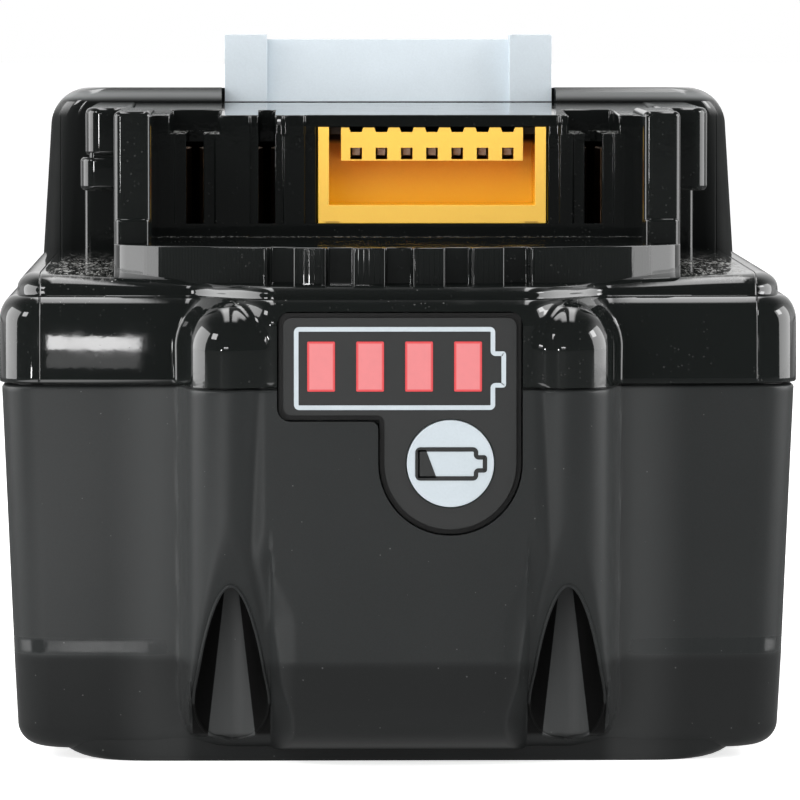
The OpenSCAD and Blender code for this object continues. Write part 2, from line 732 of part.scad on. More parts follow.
// Latch springs, each one unbroken wire
function spring_point(i) = let (a = 360 * i / curl_rings)
  [spring_r * cos(a), spring_r * sin(a),
   mix(spring_seat + wire_r, spring_top - wire_r, i / (spring_curls * curl_rings))];
spring_points = [for (i = [0:spring_curls * curl_rings]) spring_point(i)];
spring_self_gap = min([for (i = [0:len(spring_points) - curl_rings - 1])
  norm(spring_points[i + curl_rings] - spring_points[i])]) - 2 * wire_r;
echo(spring_self_gap = spring_self_gap);

module latch_spring(s) {
  rings = [for (i = [0:len(spring_points) - 1]) let (p = spring_points[i], a = 360 * i / curl_rings)
    [for (k = [0:5]) p + wire_r * (cos(60 * k) * [cos(a), sin(a), 0] + sin(60 * k) * [0, 0, 1])]];
  color("#b9bdc1") translate([s * spring_x, spring_y, 0]) loft([for (i = [len(rings) - 1:-1:0]) rings[i]]);
}

// Gauge: bezel behind the case wall, label, windows, button and its board
module gauge_holes(g) {
  for (i = [0:windows - 1]) {
    translate([window_x(i) - window_w / 2 - g, window_z - window_h / 2 - g])
      square([window_w + 2 * g, window_h + 2 * g]);
  }
  translate([lobe_x, button_z]) circle(button_r + slide_gap);
}

module gauge_bezel() {
  post_x = label_w / 2 - 1.05;
  color("#101112") {
    along_y(bezel_y, flange_y) difference() {
      label_shape(groove_w - seat_gap);
      gauge_holes(seat_gap);
    }
    along_y(flange_y, flange_y + bezel_flange_t) difference() {
      label_shape(groove_w + 0.6);
      gauge_holes(seat_gap);
    }
    for (x = [-post_x, post_x], z = [label_top - 1, label_low + 1]) {
      rod_y(x, z, 0.8, flange_y + bezel_flange_t, gauge_board_y);
    }
  }
}

module gauge_label() {
  color("#494b4b") along_y(label_y, bezel_y) difference() {
    label_shape(0);
    gauge_holes(0);
  }
}

module gauge_windows() {
  g = seat_gap / 2;
  color("#f4999c") for (i = [0:windows - 1]) {
    span([window_x(i) - window_w / 2 + g, label_y + 0.05, window_z - window_h / 2 + g],
      [window_x(i) + window_w / 2 - g, gauge_board_y - led_h - seat_gap, window_z + window_h / 2 - g]);
  }
}

module check_button() {
  color("#d9e4eb") {
    rod_y(lobe_x, button_z, button_r, label_y - 0.15, bezel_y + 0.9);
    rod_y(lobe_x, button_z, plunger_r, bezel_y + 0.9, plunger_y);
  }
}

module switch_plunger() {
  color("#2a2a2c") rod_y(lobe_x, button_z, plunger_r, plunger_y, gauge_board_y - switch_h + plunger_in);
}

module check_switch() {
  half = plunger_r + slide_gap + 1.1;
  color("#8f9498") difference() {
    span([lobe_x - half, gauge_board_y - switch_h, button_z - half],
      [lobe_x + half, gauge_board_y, button_z + half]);
    rod_y(lobe_x, button_z, plunger_r + slide_gap, gauge_board_y - switch_h - 1,
      gauge_board_y - switch_h + plunger_in + button_travel + slide_gap);
  }
}

module gauge_board() {
  hw = label_w / 2 - 0.35;
  color("#1f5a3a") span([-hw, gauge_board_y, button_z - lobe_r + 1],
    [hw, gauge_board_y + gauge_board_t, label_top - 0.2]);
}

module gauge_leds() {
  color("#f3efe6") for (i = [0:windows - 1]) {
    span([window_x(i) - 0.8, gauge_board_y - led_h, window_z - 1],
      [window_x(i) + 0.8, gauge_board_y, window_z + 1]);
  }
}

// Flat lead from the gauge board up and over the deck to the main board
module gauge_ribbon() {
  y0 = gauge_board_y + gauge_board_t;
  y1 = board_y0 + 2;
  color("#c9ccce") rotate([90, 0, 90]) linear_extrude(ribbon_w, center = true)
    polygon([[y0, label_low], [y0 + strip_t, label_low], [y0 + strip_t, deck_z], [y1, deck_z],
      [y1, board_z], [y0, board_z]]);
}

// Main board and what stands on it
module main_board() {
  color("#1d5f3f") difference() {
    span([-board_hw, board_y0, board_z], [board_hw, board_y1, board_top]);
    for (p = board_screw_spots) {
      translate([p.x, p.y, board_z - 1]) cylinder(r = board_shank_r + 0.1, h = board_t + 2);
    }
  }
}

module on_board(x, y, size) {
  translate([x - size.x / 2, y - size.y / 2, board_top]) cube(size);
}

module control_chip() {
  side = 7;
  legs = 6;
  color("#1b1c1e") on_board(chip_x, parts_y, [side, side, 1.2]);
  color("#b8bcc0") for (i = [0:legs - 1], s = [-1, 1]) {
    on_board(chip_x + s * (side / 2 + 0.5), parts_y + (i - (legs - 1) / 2), [1, 0.4, 0.5]);
  }
}

module power_transistors() {
  color("#232427") for (i = [0, 1]) {
    on_board(-chip_x - 6 * i, parts_y + 1, [4.4, 6, 2.2]);
  }
}

module board_capacitors() {
  color("#c29a5e") for (i = [0:4]) {
    on_board(chip_x + 2.4 * (i - 2), parts_y - 8, [1.6, 0.9, 0.9]);
  }
}

module main_fuse() {
  color("#e6e2d8") on_board(0, parts_y, [3, 7, 1.6]);
}

module temperature_sensor() {
  bead_r = 1.2;
  bead_z = deck_z - 3.4;
  lead_z = bead_z + bead_r / 2;
  color("#3a2f22") translate([0, valley_y(2), bead_z]) sphere(r = bead_r);
  color("#b8bcc0") for (x = [-bead_r / 2, bead_r / 2]) {
    translate([x, valley_y(2), lead_z]) cylinder(r = 0.25, h = board_z - lead_z);
  }
}

// Signal connector: open socket with a tongue of contact holes under its roof
module signal_connector() {
  hw = conn_w / 2;
  side = 1.1;
  roof = 0.8;
  color("#f2b13c") translate([conn_x, y_conn, 0]) difference() {
    union() {
      difference() {
        span([-hw, 0, conn_z], [hw, conn_l, conn_top]);
        span([side - hw, -1, conn_z + lip_t], [hw - side, socket_depth, conn_top - roof]);
      }
      span([-tongue_w / 2, 1, tongue_z], [tongue_w / 2, socket_depth, conn_top - roof]);
      span([2 - hw, 4, board_top], [hw - 2, conn_l - 2, conn_z]);
    }
    for (i = [0:ways - 1]) {
      x = (i - (ways - 1) / 2) * way_pitch;
      h = way_hole / 2;
      span([x - h, -1, way_z - h], [x + h, conn_l + 1, way_z + h]);
      span([x - h, -1, conn_top - roof - 0.3], [x + h, 3, conn_top + 1]);
    }
  }
}

module signal_pins() {
  h = way_hole / 2 - 0.15;
  color("#d8b35a") translate([conn_x, y_conn, 0]) for (i = [0:ways - 1]) {
    x = (i - (ways - 1) / 2) * way_pitch;
    span([x - h, 2.2, way_z - h], [x + h, conn_l + 0.8, way_z + h]);
    span([x - h, conn_l + 0.1, board_top], [x + h, conn_l + 0.8, way_z - h]);
  }
}

// Spring clip for a blade: two bowed leaves on one base
module blade_clip(x, base) {
  y0 = board_y0 + 0.4;
  leaf = [[0.8, 0], [0.4, 4], [0.8, 10], [1.5, 10], [1.1, 4], [1.5, 0]];
  translate([x, y0, board_top]) {
    for (s = [0, 1]) {
      mirror([s, 0, 0]) linear_extrude(term_top - board_top) polygon(leaf);
    }
    span([-base, 6, 0], [base, 10, 0.8]);
  }
}

module positive_terminal() {
  color("#c7a46a") blade_clip(-term_x, clip_base);
}

module negative_terminal() {
  color("#c7a46a") blade_clip(term_x, clip_base);
}

module sense_terminal() {
  color("#c7a46a") blade_clip(-sense_x, sense_base);
}

// Cell frame half: ring block at the cell ends, deck, board bosses and a spring post
module cell_frame(s) {
  x1 = cell_end - nub_h;
  color("#2b2f33") mirror([s < 0 ? 1 : 0, 0, 0]) difference() {
    union() {
      hull() {
        for (g = [0, groups - 1], l = [0, layers - 1]) {
          rod_x([x1 - frame_grip, cell_y(g), cell_z(l)], cell_r + frame_skin, frame_grip);
        }
      }
      span([frame_split, cell_y(0), deck_z - deck_t], [x1, cell_y(groups - 1) + 4, deck_z]);
      for (p = board_screw_rows) {
        translate([p.x, p.y, deck_z - boss_h]) cylinder(r = 2, h = boss_h);
      }
      translate([spring_x, spring_y, deck_z - 0.5]) cylinder(r = spring_r - wire_r - 0.2, h = 2.5);
    }
    for (g = [0:groups - 1], l = [0:layers - 1]) {
      rod_x([-1, cell_y(g), cell_z(l)], cell_r + cell_gap / 4, cell_end + 2);
    }
    for (p = board_screw_rows) {
      translate([p.x, p.y, deck_z - boss_h - 1]) cylinder(r = board_shank_r + 0.05, h = boss_h + 2);
    }
    translate([0, valley_y(2), deck_z - boss_h]) cylinder(r = 2.2, h = boss_h + 1);
  }
}

// Cells lie across the pack, and the poles turn about from group to group
function pole(g) = g % 2 == 0 ? 1 : -1;

module cell(i) {
  g = i % groups;
  can = cell_end - nub_h;
  crimp = can - 4;
  color("#2f7f86") translate([0, cell_y(g), cell_z(floor(i / groups))]) rotate([0, 90 * pole(g), 0])
    rotate_extrude($fn = 48) polygon([[0, -cell_end], [cell_r - 0.6, -cell_end], [cell_r, 0.6 - cell_end],
      [cell_r, crimp], [cell_r - 0.5, crimp + 0.4], [cell_r - 0.5, crimp + 1], [cell_r, crimp + 1.4],
      [cell_r, can - 0.5], [cell_r - 0.5, can], [nub_r, can], [nub_r, cell_end], [0, cell_end]]);
}

module cell_rings() {
  color("#efefea") for (g = [0:groups - 1], l = [0:layers - 1]) {
    x = pole(g) * (cell_end - nub_h + ring_t / 2);
    translate([x, cell_y(g), cell_z(l)]) rotate([0, 90, 0]) difference() {
      cylinder(r = cell_r - 0.7, h = ring_t, center = true);
      cylinder(r = nub_r + 0.3, h = ring_t + 1, center = true);
    }
  }
}

// Link strip over groups g0 to g1, with a tab at group t that runs over the deck to the main board
module link(s, g0, g1, t) {
  y = cell_y(t);
  seat = max(board_y0 + 1, min(board_y1 - 1, y));
  h = tab_w / 2;
  color("#c4c7c9") mirror([s < 0 ? 1 : 0, 0, 0]) {
    span([cell_end, cell_y(g0) - strip_w / 2, cell_z(0) - strip_w / 2],
      [cell_end + strip_t, cell_y(g1) + strip_w / 2, cell_z(layers - 1) + strip_w / 2]);
    span([cell_end, y - h, cell_z(layers - 1)], [cell_end + strip_t, y + h, board_z]);
    span([tab_x, y - h, deck_z], [cell_end + strip_t, y + h, board_z]);
    span([tab_x, min(y, seat) - h, deck_z], [tab_x + tab_w, max(y, seat) + h, board_z]);
  }
}

// Insulating sheet over the link strips
module side_sheet(s) {
  edge = 0.5;
  x = cell_end + strip_t;
  color("#d9d2bd") mirror([s < 0 ? 1 : 0, 0, 0])
    span([x, cell_y(0) - strip_w / 2 - edge, cell_z(0) - strip_w / 2 - edge],
      [x + sheet_t, cell_y(groups - 1) + strip_w / 2 + edge, cell_z(layers - 1) + strip_w / 2 + edge]);
}

upper_case();
lower_case();
case_screws();
latch_hook();
release_button();
latch_spring(-1);  // latch_spring_left
latch_spring(1);  // latch_spring_right
gauge_bezel();
gauge_label();
gauge_windows();
check_button();
gauge_board();
gauge_leds();
check_switch();
switch_plunger();
gauge_ribbon();
main_board();
board_screws();
control_chip();
power_transistors();
board_capacitors();
main_fuse();
temperature_sensor();
signal_connector();
signal_pins();
positive_terminal();
negative_terminal();
sense_terminal();
cell_frame(-1);  // cell_frame_left
cell_frame(1);  // cell_frame_right
cell(0);  // cell_1
cell(1);  // cell_2
cell(2);  // cell_3
cell(3);  // cell_4
cell(4);  // cell_5
cell(5);  // cell_6
cell(6);  // cell_7
cell(7);  // cell_8
cell(8);  // cell_9
cell(9);  // cell_10
cell_rings();
link(-1, 0, 1, 1);  // link_left_1
link(-1, 2, 3, 2);  // link_left_2
link(-1, 4, 4, 4);  // link_left_3
link(1, 0, 0, 0);  // link_right_1
link(1, 1, 2, 2);  // link_right_2
link(1, 3, 4, 3);  // link_right_3
side_sheet(-1);  // side_sheet_left
side_sheet(1);  // side_sheet_right
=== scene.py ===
# %% [markdown]
# # A slide-on battery pack for power tools
#
# The pack stands on its base with the gauge towards the viewer. The CAD model brings the sizes, the moving bodies and
# the hidden insides. This lesson rebuilds the pieces that show with softer edges, gives every piece its finish, and
# lights them like a product on a white table.

import json
import math

import bmesh
import bpy
import numpy as np
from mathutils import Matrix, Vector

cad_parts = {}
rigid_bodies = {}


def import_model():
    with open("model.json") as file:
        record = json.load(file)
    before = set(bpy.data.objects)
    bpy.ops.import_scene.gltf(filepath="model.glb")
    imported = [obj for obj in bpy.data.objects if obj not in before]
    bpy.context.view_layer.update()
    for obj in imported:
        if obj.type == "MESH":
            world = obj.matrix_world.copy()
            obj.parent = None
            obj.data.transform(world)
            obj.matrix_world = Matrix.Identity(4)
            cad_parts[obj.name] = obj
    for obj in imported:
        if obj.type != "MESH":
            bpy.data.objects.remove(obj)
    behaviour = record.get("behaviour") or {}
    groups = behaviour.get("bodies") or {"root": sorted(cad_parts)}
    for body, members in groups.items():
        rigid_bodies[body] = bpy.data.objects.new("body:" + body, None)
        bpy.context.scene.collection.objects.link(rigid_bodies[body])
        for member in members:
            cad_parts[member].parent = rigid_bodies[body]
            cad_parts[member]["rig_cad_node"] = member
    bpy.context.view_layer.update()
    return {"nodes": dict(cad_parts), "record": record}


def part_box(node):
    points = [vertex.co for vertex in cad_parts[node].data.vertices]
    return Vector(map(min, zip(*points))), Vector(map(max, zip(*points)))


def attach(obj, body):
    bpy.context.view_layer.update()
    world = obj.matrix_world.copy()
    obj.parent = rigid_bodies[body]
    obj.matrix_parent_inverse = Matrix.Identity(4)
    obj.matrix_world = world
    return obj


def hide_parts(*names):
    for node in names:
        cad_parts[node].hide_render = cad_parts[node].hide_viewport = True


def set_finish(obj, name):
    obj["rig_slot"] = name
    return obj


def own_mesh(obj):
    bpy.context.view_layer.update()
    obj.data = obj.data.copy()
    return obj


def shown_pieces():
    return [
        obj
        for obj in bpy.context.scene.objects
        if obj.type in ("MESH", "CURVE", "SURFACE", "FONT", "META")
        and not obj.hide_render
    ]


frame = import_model()

# %% [markdown]
# ## Rings become a mesh
#
# Moulded cases change shape slowly from bottom to top, so a stack of outlines describes them well. One helper joins
# neighbouring outlines with quads and closes both ends. Another cuts rooms and slots out of the result, which is how
# a mould's cores make them.

# %% From rings to solids
MM = 0.001


def skin(rings):
    """Closes a stack of rings, shape (levels, points, 3), with quads between neighbours and a flat cap at each end."""
    levels, count = rings.shape[:2]
    here = np.arange(levels * count).reshape(levels, count)
    beside = np.roll(here, -1, axis=1)
    quads = np.stack([here[:-1], beside[:-1], beside[1:], here[1:]], axis=-1).reshape(-1, 4)
    return rings.reshape(-1, 3), quads.tolist() + [here[0, ::-1].tolist(), here[-1].tolist()]


def joined(*shapes):
    """Several (points, faces) pairs as one pair."""
    starts = np.cumsum([0] + [len(points) for points, _ in shapes])
    faces = [[i + int(start) for i in face] for start, (_, group) in zip(starts, shapes) for face in group]
    return np.concatenate([points for points, _ in shapes]), faces


def solid(name, shape):
    """A new object from (points in millimetres, faces), with doubles merged and all faces turned outwards."""
    points, faces = shape
    mesh = bpy.data.meshes.new(name)
    mesh.from_pydata((points * MM).tolist(), [], faces)
    tidy = bmesh.new()
    tidy.from_mesh(mesh)
    bmesh.ops.remove_doubles(tidy, verts=tidy.verts, dist=1e-7)
    bmesh.ops.recalc_face_normals(tidy, faces=tidy.faces)
    tidy.to_mesh(mesh)
    tidy.free()
    obj = bpy.data.objects.new(name, mesh)
    bpy.context.scene.collection.objects.link(obj)
    return obj


def bake(obj):
    """Puts what the modifiers make in place of the object's mesh."""
    made = bpy.data.meshes.new_from_object(obj.evaluated_get(bpy.context.evaluated_depsgraph_get()))
    obj.modifiers.clear()
    obj.data = made
    return obj


def carve(obj, *shapes):
    """Cuts each shape out of the object."""
    for shape in shapes:
        tool = solid("tool", shape)
        step = obj.modifiers.new("carve", "BOOLEAN")
        step.operation, step.solver, step.object = "DIFFERENCE", "EXACT", tool
        bake(obj)
        bpy.data.objects.remove(tool)
    return obj


def dress(obj, slot, body="pack", stands_for=(), crisp=35):
    """Smooth shading with crisp edges above an angle, then the body it rides on, its nodes and its finish."""
    mesh = obj.data
    mesh.polygons.foreach_set("use_smooth", np.ones(len(mesh.polygons), dtype=bool))
    mesh.set_sharp_from_angle(angle=math.radians(crisp))
    flat = obj.modifiers.new("flat faces stay flat", "WEIGHTED_NORMAL")
    flat.keep_sharp = True
    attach(obj, body)
    if stands_for:
        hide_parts(*stands_for)
    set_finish(obj, slot)
    print(obj.name, len(mesh.polygons), "faces")
    return obj


# %% [markdown]
# ## Outlines with round corners
#
# Hardly any edge of a moulded part is sharp. A polygon whose corners are replaced by arcs, pushed up into a slab and
# drawn in along a quarter circle at its ends, gives most of the small blocks of this pack.

# %% Rounded slabs
def rounded(corners, radius, steps=6):
    """Closed outline in which each corner of a polygon becomes an arc that touches both of its sides."""
    p = np.asarray(corners, float)
    a, b = np.roll(p, 1, axis=0) - p, np.roll(p, -1, axis=0) - p
    a, b = (side / np.linalg.norm(side, axis=1, keepdims=True) for side in (a, b))
    half = np.arccos(np.clip((a * b).sum(axis=1), -1, 0.99999))[:, None] / 2
    half = np.minimum(half, math.pi / 2 - 1e-4)
    r = np.broadcast_to(np.asarray(radius, float), len(p))[:, None]
    middle = (a + b) / np.maximum(np.linalg.norm(a + b, axis=1, keepdims=True), 1e-9)
    centre = p + middle * r / np.sin(half)
    start, end = p + a * r / np.tan(half) - centre, p + b * r / np.tan(half) - centre
    sweep = (math.pi - 2 * half)[:, :, None]
    t = np.linspace(0, 1, steps + 1)[None, :, None]
    arcs = (np.sin((1 - t) * sweep) * start[:, None] + np.sin(t * sweep) * end[:, None]) / np.sin(sweep)
    return (centre[:, None] + arcs).reshape(-1, 2)


def drawn_in(outline, depth):
    """The outline moved inwards: each point goes along the mitre of its two sides."""
    side = np.roll(outline, -1, axis=0) - outline
    x, y = outline.T
    way = np.sign((x * np.roll(y, -1) - y * np.roll(x, -1)).sum())
    normal = way * np.stack([-side[:, 1], side[:, 0]], axis=1)
    normal /= np.maximum(np.linalg.norm(normal, axis=1, keepdims=True), 1e-9)
    before = np.roll(normal, 1, axis=0)
    return outline + depth * (normal + before) / (1 + (normal * before).sum(axis=1, keepdims=True))


def slab(corners, radius, low, high, top=0.0, bottom=0.0, axis="z", steps=6):
    """A rounded polygon from low to high along an axis, its ends drawn in along quarter circles of the radii given."""
    outline = rounded(corners, radius, steps)
    turn = np.linspace(0, math.pi / 2, 6)
    start = [(bottom * (1 - math.sin(t)), low + bottom * (1 - math.cos(t))) for t in turn] if bottom else [(0.0, low)]
    end = [(top * (1 - math.cos(t)), high - top * (1 - math.sin(t))) for t in turn] if top else [(0.0, high)]
    order = {"z": (0, 1, 2), "y": (0, 2, 1), "x": (2, 0, 1)}[axis]
    rings = [np.column_stack([drawn_in(outline, inset), np.full(len(outline), height)])[:, order]
             for inset, height in start + end]
    return skin(np.array(rings))


def block(low, high, radius=0.5, top=0.0, bottom=0.0):
    """An upright block between two corners, its vertical edges rounded."""
    (x0, y0, z0), (x1, y1, z1) = low, high
    return slab([(x0, y0), (x1, y0), (x1, y1), (x0, y1)], radius, z0, z1, top, bottom)


def mirrored(shape):
    """The same shape on the other side of the middle plane."""
    points, faces = shape
    return points * [-1, 1, 1], faces


# %% [markdown]
# ## The case outline
#
# Seen from above the case is a long box. Its front has a middle panel for the gauge, a half-round screw column on each
# side of it, and side panels that bow slightly towards the corners. Depth at any place on the front is a formula of
# width and height, and a soft minimum lets column and panel flow into each other as they do in the mould.

# %% Outline formulas
Y_FRONT, Y_REAR, Y_PANEL, Y_SIDE = -58.0, 58.0, -57.4, -50.6
RIM_HW, SEAM_HW, FLOOR_HW = 38.0, 37.8, 36.3
PANEL_HW, FLANK_HW, BOW = 11.8, 20.2, 1.4
COL_X, COL_R, COL_Y = 15.9, 4.3, -53.7


def mix(a, b, t):
    """From a at t 0 to b at t 1."""
    return a + (b - a) * t


def ease(t):
    """Rises from 0 to 1 and is flat at both ends: three t squared less two t cubed."""
    t = np.clip(t, 0, 1)
    return t * t * (3 - 2 * t)


def soft_min(a, b, width):
    """The smaller of two depths, with their crossing rounded over a width."""
    h = np.clip(0.5 + 0.5 * (b - a) / width, 0, 1)
    return mix(b, a, h) - width * h * (1 - h)


def plain_front(x, panel, side, half):
    """Depth of the front without columns: panel, S-shaped flank, then a side panel that bows back as a parabola."""
    x = np.abs(x)
    bow = BOW * (np.maximum(0, x - FLANK_HW) / (RIM_HW - FLANK_HW)) ** 2
    return mix(panel, side, ease((x - half) / (FLANK_HW - half))) + bow


def case_rings(z, half_width, rear, front, corner=3.8, back=7.0):
    """Outlines at heights z: the front's depth formula, a corner arc that carries on its slope, round rear corners."""
    z, half_width, rear = (np.asarray(v, float)[:, None] for v in (z, half_width, rear))
    slope = math.atan(2 * BOW / (RIM_HW - FLANK_HW))
    x = np.linspace(0, 1, 190) * (half_width - corner * (1 - math.sin(slope)))
    y = front(x, z)
    t = np.linspace(slope - math.pi / 2, 0, 16)[1:]
    arc_x = half_width - corner + corner * np.cos(t)
    arc_y = y[:, -1:] + corner * math.cos(slope) + corner * np.sin(t)
    u = np.linspace(0, math.pi / 2, 20)
    xs = np.hstack([x, arc_x, half_width - back + back * np.cos(u)])
    ys = np.hstack([y, arc_y, rear - back + back * np.sin(u)])
    ring_x, ring_y = np.hstack([xs, -xs[:, :0:-1]]), np.hstack([ys, ys[:, :0:-1]])
    return np.stack([ring_x, ring_y, np.broadcast_to(z, ring_x.shape)], axis=-1)


# %% [markdown]
# ## The tray of the upper case
#
# The glossy upper half starts at a rim over the seam, rounds over a shoulder and steps up to a flat platform. The step
# is lower near the columns than at the corners. The screw columns end in the shoulder as half balls. A post with a ball
# on top is one distance formula, so the columns need no extra piece, and the soft minimum makes the fillet round them.

# %% Tray
RIM_Z, RIM_R, FLARE_Z, SHOULDER_Z, PLAT_Z, DOME_Z = 36.45, 0.25, 40.7, 44.45, 46.55, 39.65
ROLL_H, ROLL_D, STEP_H, STEP_D, STEP_IN = 2.4, 1.5, 1.4, 1.6, 1.65
FALL_MID, FALL_SIDE = 0.42, 0.13
LABEL_W, LABEL_TOP, LABEL_LOW, LOBE_X, LOBE_Z, LOBE_R = 21.9, 42.75, 33.6, 4.75, 29.05, 6.2


def label_outline(grow, radius=0.8):
    """Corners and radii of the gauge label: a wide bar with a round lobe under its right end."""
    side, top, low = LABEL_W / 2 + grow, LABEL_TOP + grow, LABEL_LOW - grow
    left, foot, round_r = LOBE_X - LOBE_R - grow, LOBE_Z - LOBE_R - grow, LOBE_R + grow
    corners = [(-side, top), (-side, low), (left, low), (left, foot), (side, foot), (side, top)]
    return corners, [radius, radius, 0.7, round_r, round_r, radius]


def upper_front(x, z, inset):
    """Depth of the upper front: plain front, bent as a parabola and drawn back by the inset, or post with half ball."""
    below = FLARE_Z - z
    flare = (0.09 - 0.0075 * below) * below * ease((np.abs(x) - COL_X) / 4)
    base = plain_front(x, Y_PANEL, Y_SIDE, PANEL_HW) + inset - flare
    reach = np.hypot(np.abs(x) - COL_X, np.maximum(0, z - DOME_Z))
    ball = COL_Y - np.sqrt(np.maximum(COL_R**2 - reach**2, 0)) + 4 * np.maximum(reach - COL_R, 0)
    return np.where(z < SHOULDER_Z, soft_min(base, ball, 1.6), base)


turn = np.linspace(0, math.pi / 2, 15)
flat_z = np.linspace(RIM_Z, 42.0, 33)
levels = np.concatenate([
    np.column_stack([RIM_Z - RIM_R * np.cos(turn[::3]), RIM_R * (1 - np.sin(turn[::3]))]),
    np.column_stack([flat_z[1:], 0 * flat_z[1:]]),
    np.column_stack([SHOULDER_Z - ROLL_H + ROLL_H * np.sin(turn[1:]), ROLL_D * (1 - np.cos(turn[1:]))]),
    np.array([[44.48, 1.58], [44.56, 1.62], [45.0, 1.64]]),
    np.column_stack([PLAT_Z - STEP_H + STEP_H * np.sin(turn), STEP_IN + STEP_D * (1 - np.cos(turn))]),
    np.column_stack([np.full(5, PLAT_Z), [4.5, 7, 10, 13, 17]]),
])
tray_z, tray_in = levels.T
tray_rings = case_rings(tray_z, RIM_HW - tray_in, Y_REAR - tray_in,
                        lambda x, z: upper_front(x, z, tray_in[:, None]))
step_share = np.maximum(0, tray_rings[..., 2] - SHOULDER_Z) * ease((-41 - tray_rings[..., 1]) / 9)
tray_rings[..., 2] -= mix(FALL_MID, FALL_SIDE, ease((np.abs(tray_rings[..., 0]) - 17) / 18)) * step_share
tray = solid("tray", skin(tray_rings))
label_hole = slab(*label_outline(0.6, 1.3), -60, -54.5, axis="y", steps=14)
carve(tray,
      block((-36.2, -47.4, 36), (36.2, 56.2, 42), 5),
      block((-34.6, -44, 41), (34.6, 49, 44.75), 5),
      block((-12.3, -55.6, 36), (12.3, -46, 43.6)),
      block((-14.1, 51, 43.45), (14.1, 62, 48), 0.8),
      block((-25, -18, 44), (25, 16, 48)),
      block((-32, 20, 44), (32, 49, 48)),
      block((-8.3, 48, 45.6), (8.3, 52, 48)),
      label_hole)
dress(tray, "case_gloss", stands_for=["upper_case"])

# %% [markdown]
# ## The skirt
#
# In front of the rail block a low curved wall keeps dirt away from the contacts. Five notches are cut in its middle.
# Its plan is an arc whose points step inwards at each notch, so one slab makes wall and notches together.

# %% Skirt
SKIRT_TOP, BLOCK_HW, Y_BAY, Y_POST = 49.15, 27.2, -20.5, -41.0
BOW_R, SKIRT_Y = 41.68, -52.6
NOTCH_PITCH, NOTCH_HW, NOTCH_D = 5.65, 1.3, 1.2
edge = math.asin(BLOCK_HW / BOW_R)
notch_mid = np.arcsin(NOTCH_PITCH * np.arange(-2, 3) / BOW_R)
notch_half = math.asin(NOTCH_HW / BOW_R)
marks = np.stack([notch_mid - notch_half] * 2 + [notch_mid + notch_half] * 2, axis=1)
inward = np.tile([0.0, NOTCH_D, NOTCH_D, 0.0], 5)
left = np.append(-edge, np.linspace(-edge + 0.09, marks[0, 0], 40)[:-1])
teeth = np.linspace(marks[:-1, -1], marks[1:, 0], 7, axis=1)[:, 1:-1]
angle = np.concatenate([left, *[np.append(a, b) for a, b in zip(marks[:-1], teeth)], marks[-1], -left[::-1]])
corner_r = np.where(np.isin(angle, marks), 0.25, 5.0)
depth = np.zeros(len(angle))
depth[np.isin(angle, marks)] = inward
corner_r[[0, -1]] = 3.2
radius = BOW_R - depth
plan = np.column_stack([radius * np.sin(angle), SKIRT_Y + BOW_R - radius * np.cos(angle)])
plan = np.vstack([plan, [[BLOCK_HW, -19], [-BLOCK_HW, -19]]])
corner_r = np.append(corner_r, [0.25, 0.25])
skirt = solid("skirt", slab(plan, corner_r, 44.9, SKIRT_TOP, top=0.12, steps=4))
dress(skirt, "case_gloss", stands_for=["upper_case"])

# %% [markdown]
# ## The rail block
#
# The tool's rails run along this block. Its front holds the connector window and three terminal slots that widen at the
# top. The block is made in four layers, because each height has another plan: base, slots, slot heads, and a roof that
# falls slightly to the front.

# %% Rail block
RAIL_Z, CONN_LOW, CONN_HIGH = 61.85, 50.4, 59.98
POWER_X, SENSE_X, WINDOW_X, WINDOW_W = 19.7, -12.6, 3.75, 22.9


def block_plan(gaps):
    """Corners of the block with stepped gaps in its front: each is (middle, [(width, depth), ...]), widest first."""
    corners = [(-BLOCK_HW, Y_BAY)]
    for x, steps in sorted(gaps):
        half = [(-width / 2, depth) for width, depth in steps]
        walk = [(half[0][0], 0.0)]
        for (dx, depth), after in zip(half, half[1:] + [None]):
            walk += [(dx, depth)] + ([(after[0], depth)] if after else [])
        corners += [(x + dx, Y_BAY + d) for dx, d in walk] + [(x - dx, Y_BAY + d) for dx, d in walk[::-1]]
    return corners + [(BLOCK_HW, Y_BAY), (BLOCK_HW, 22), (-BLOCK_HW, 22)]


frame_step = (25.2, 0.6)
window = (WINDOW_X, [frame_step, (WINDOW_W, 15.3)])
sense = (SENSE_X, [(3.3, 0.6), (1.6, 15.0)])
power = [(x, [(4.0, 0.25), (1.7, 15.0)]) for x in (-POWER_X, POWER_X)]
heads = [(x, [(4.9, 16.0)]) for x in (-POWER_X, POWER_X)] + [sense]
base = carve(solid("rail_base", slab(block_plan([]), 0.4, 45.5, CONN_LOW)),
             block((-25.4, -18.7, 44), (25.4, 20.3, 51)))
ways = carve(solid("rail_ways", slab(block_plan(power + [sense, window]), 0.12, CONN_LOW, 59.25)),
             block((-25.4, -18.7, 50), (25.4, 20.3, 58.2)))
lintel = solid("rail_lintel", slab(block_plan(heads + [window]), 0.25, 59.25, CONN_HIGH))
roof_points, roof_faces = slab(block_plan(heads + [(WINDOW_X, [frame_step])]), 0.28, CONN_HIGH, RAIL_Z, top=0.2)
roof_points[:, 2] -= np.where(roof_points[:, 2] > 61, 0.0175 * (22 - roof_points[:, 1]), 0)
roof = carve(solid("rail_roof", (roof_points, roof_faces)), block((-10.6, 18.4, 60.4), (10.6, 22.6, 63), 0.3))
for obj in (base, ways, lintel, roof):
    dress(obj, "case_gloss", stands_for=["upper_case"])

# %% [markdown]
# ## Posts and flanges
#
# Two posts stand in front of the block and lead the tool's rails. The flanges along the block's sides are the rails'
# counterparts. The left flange is built up of two steps, which keys the pack to its tool.

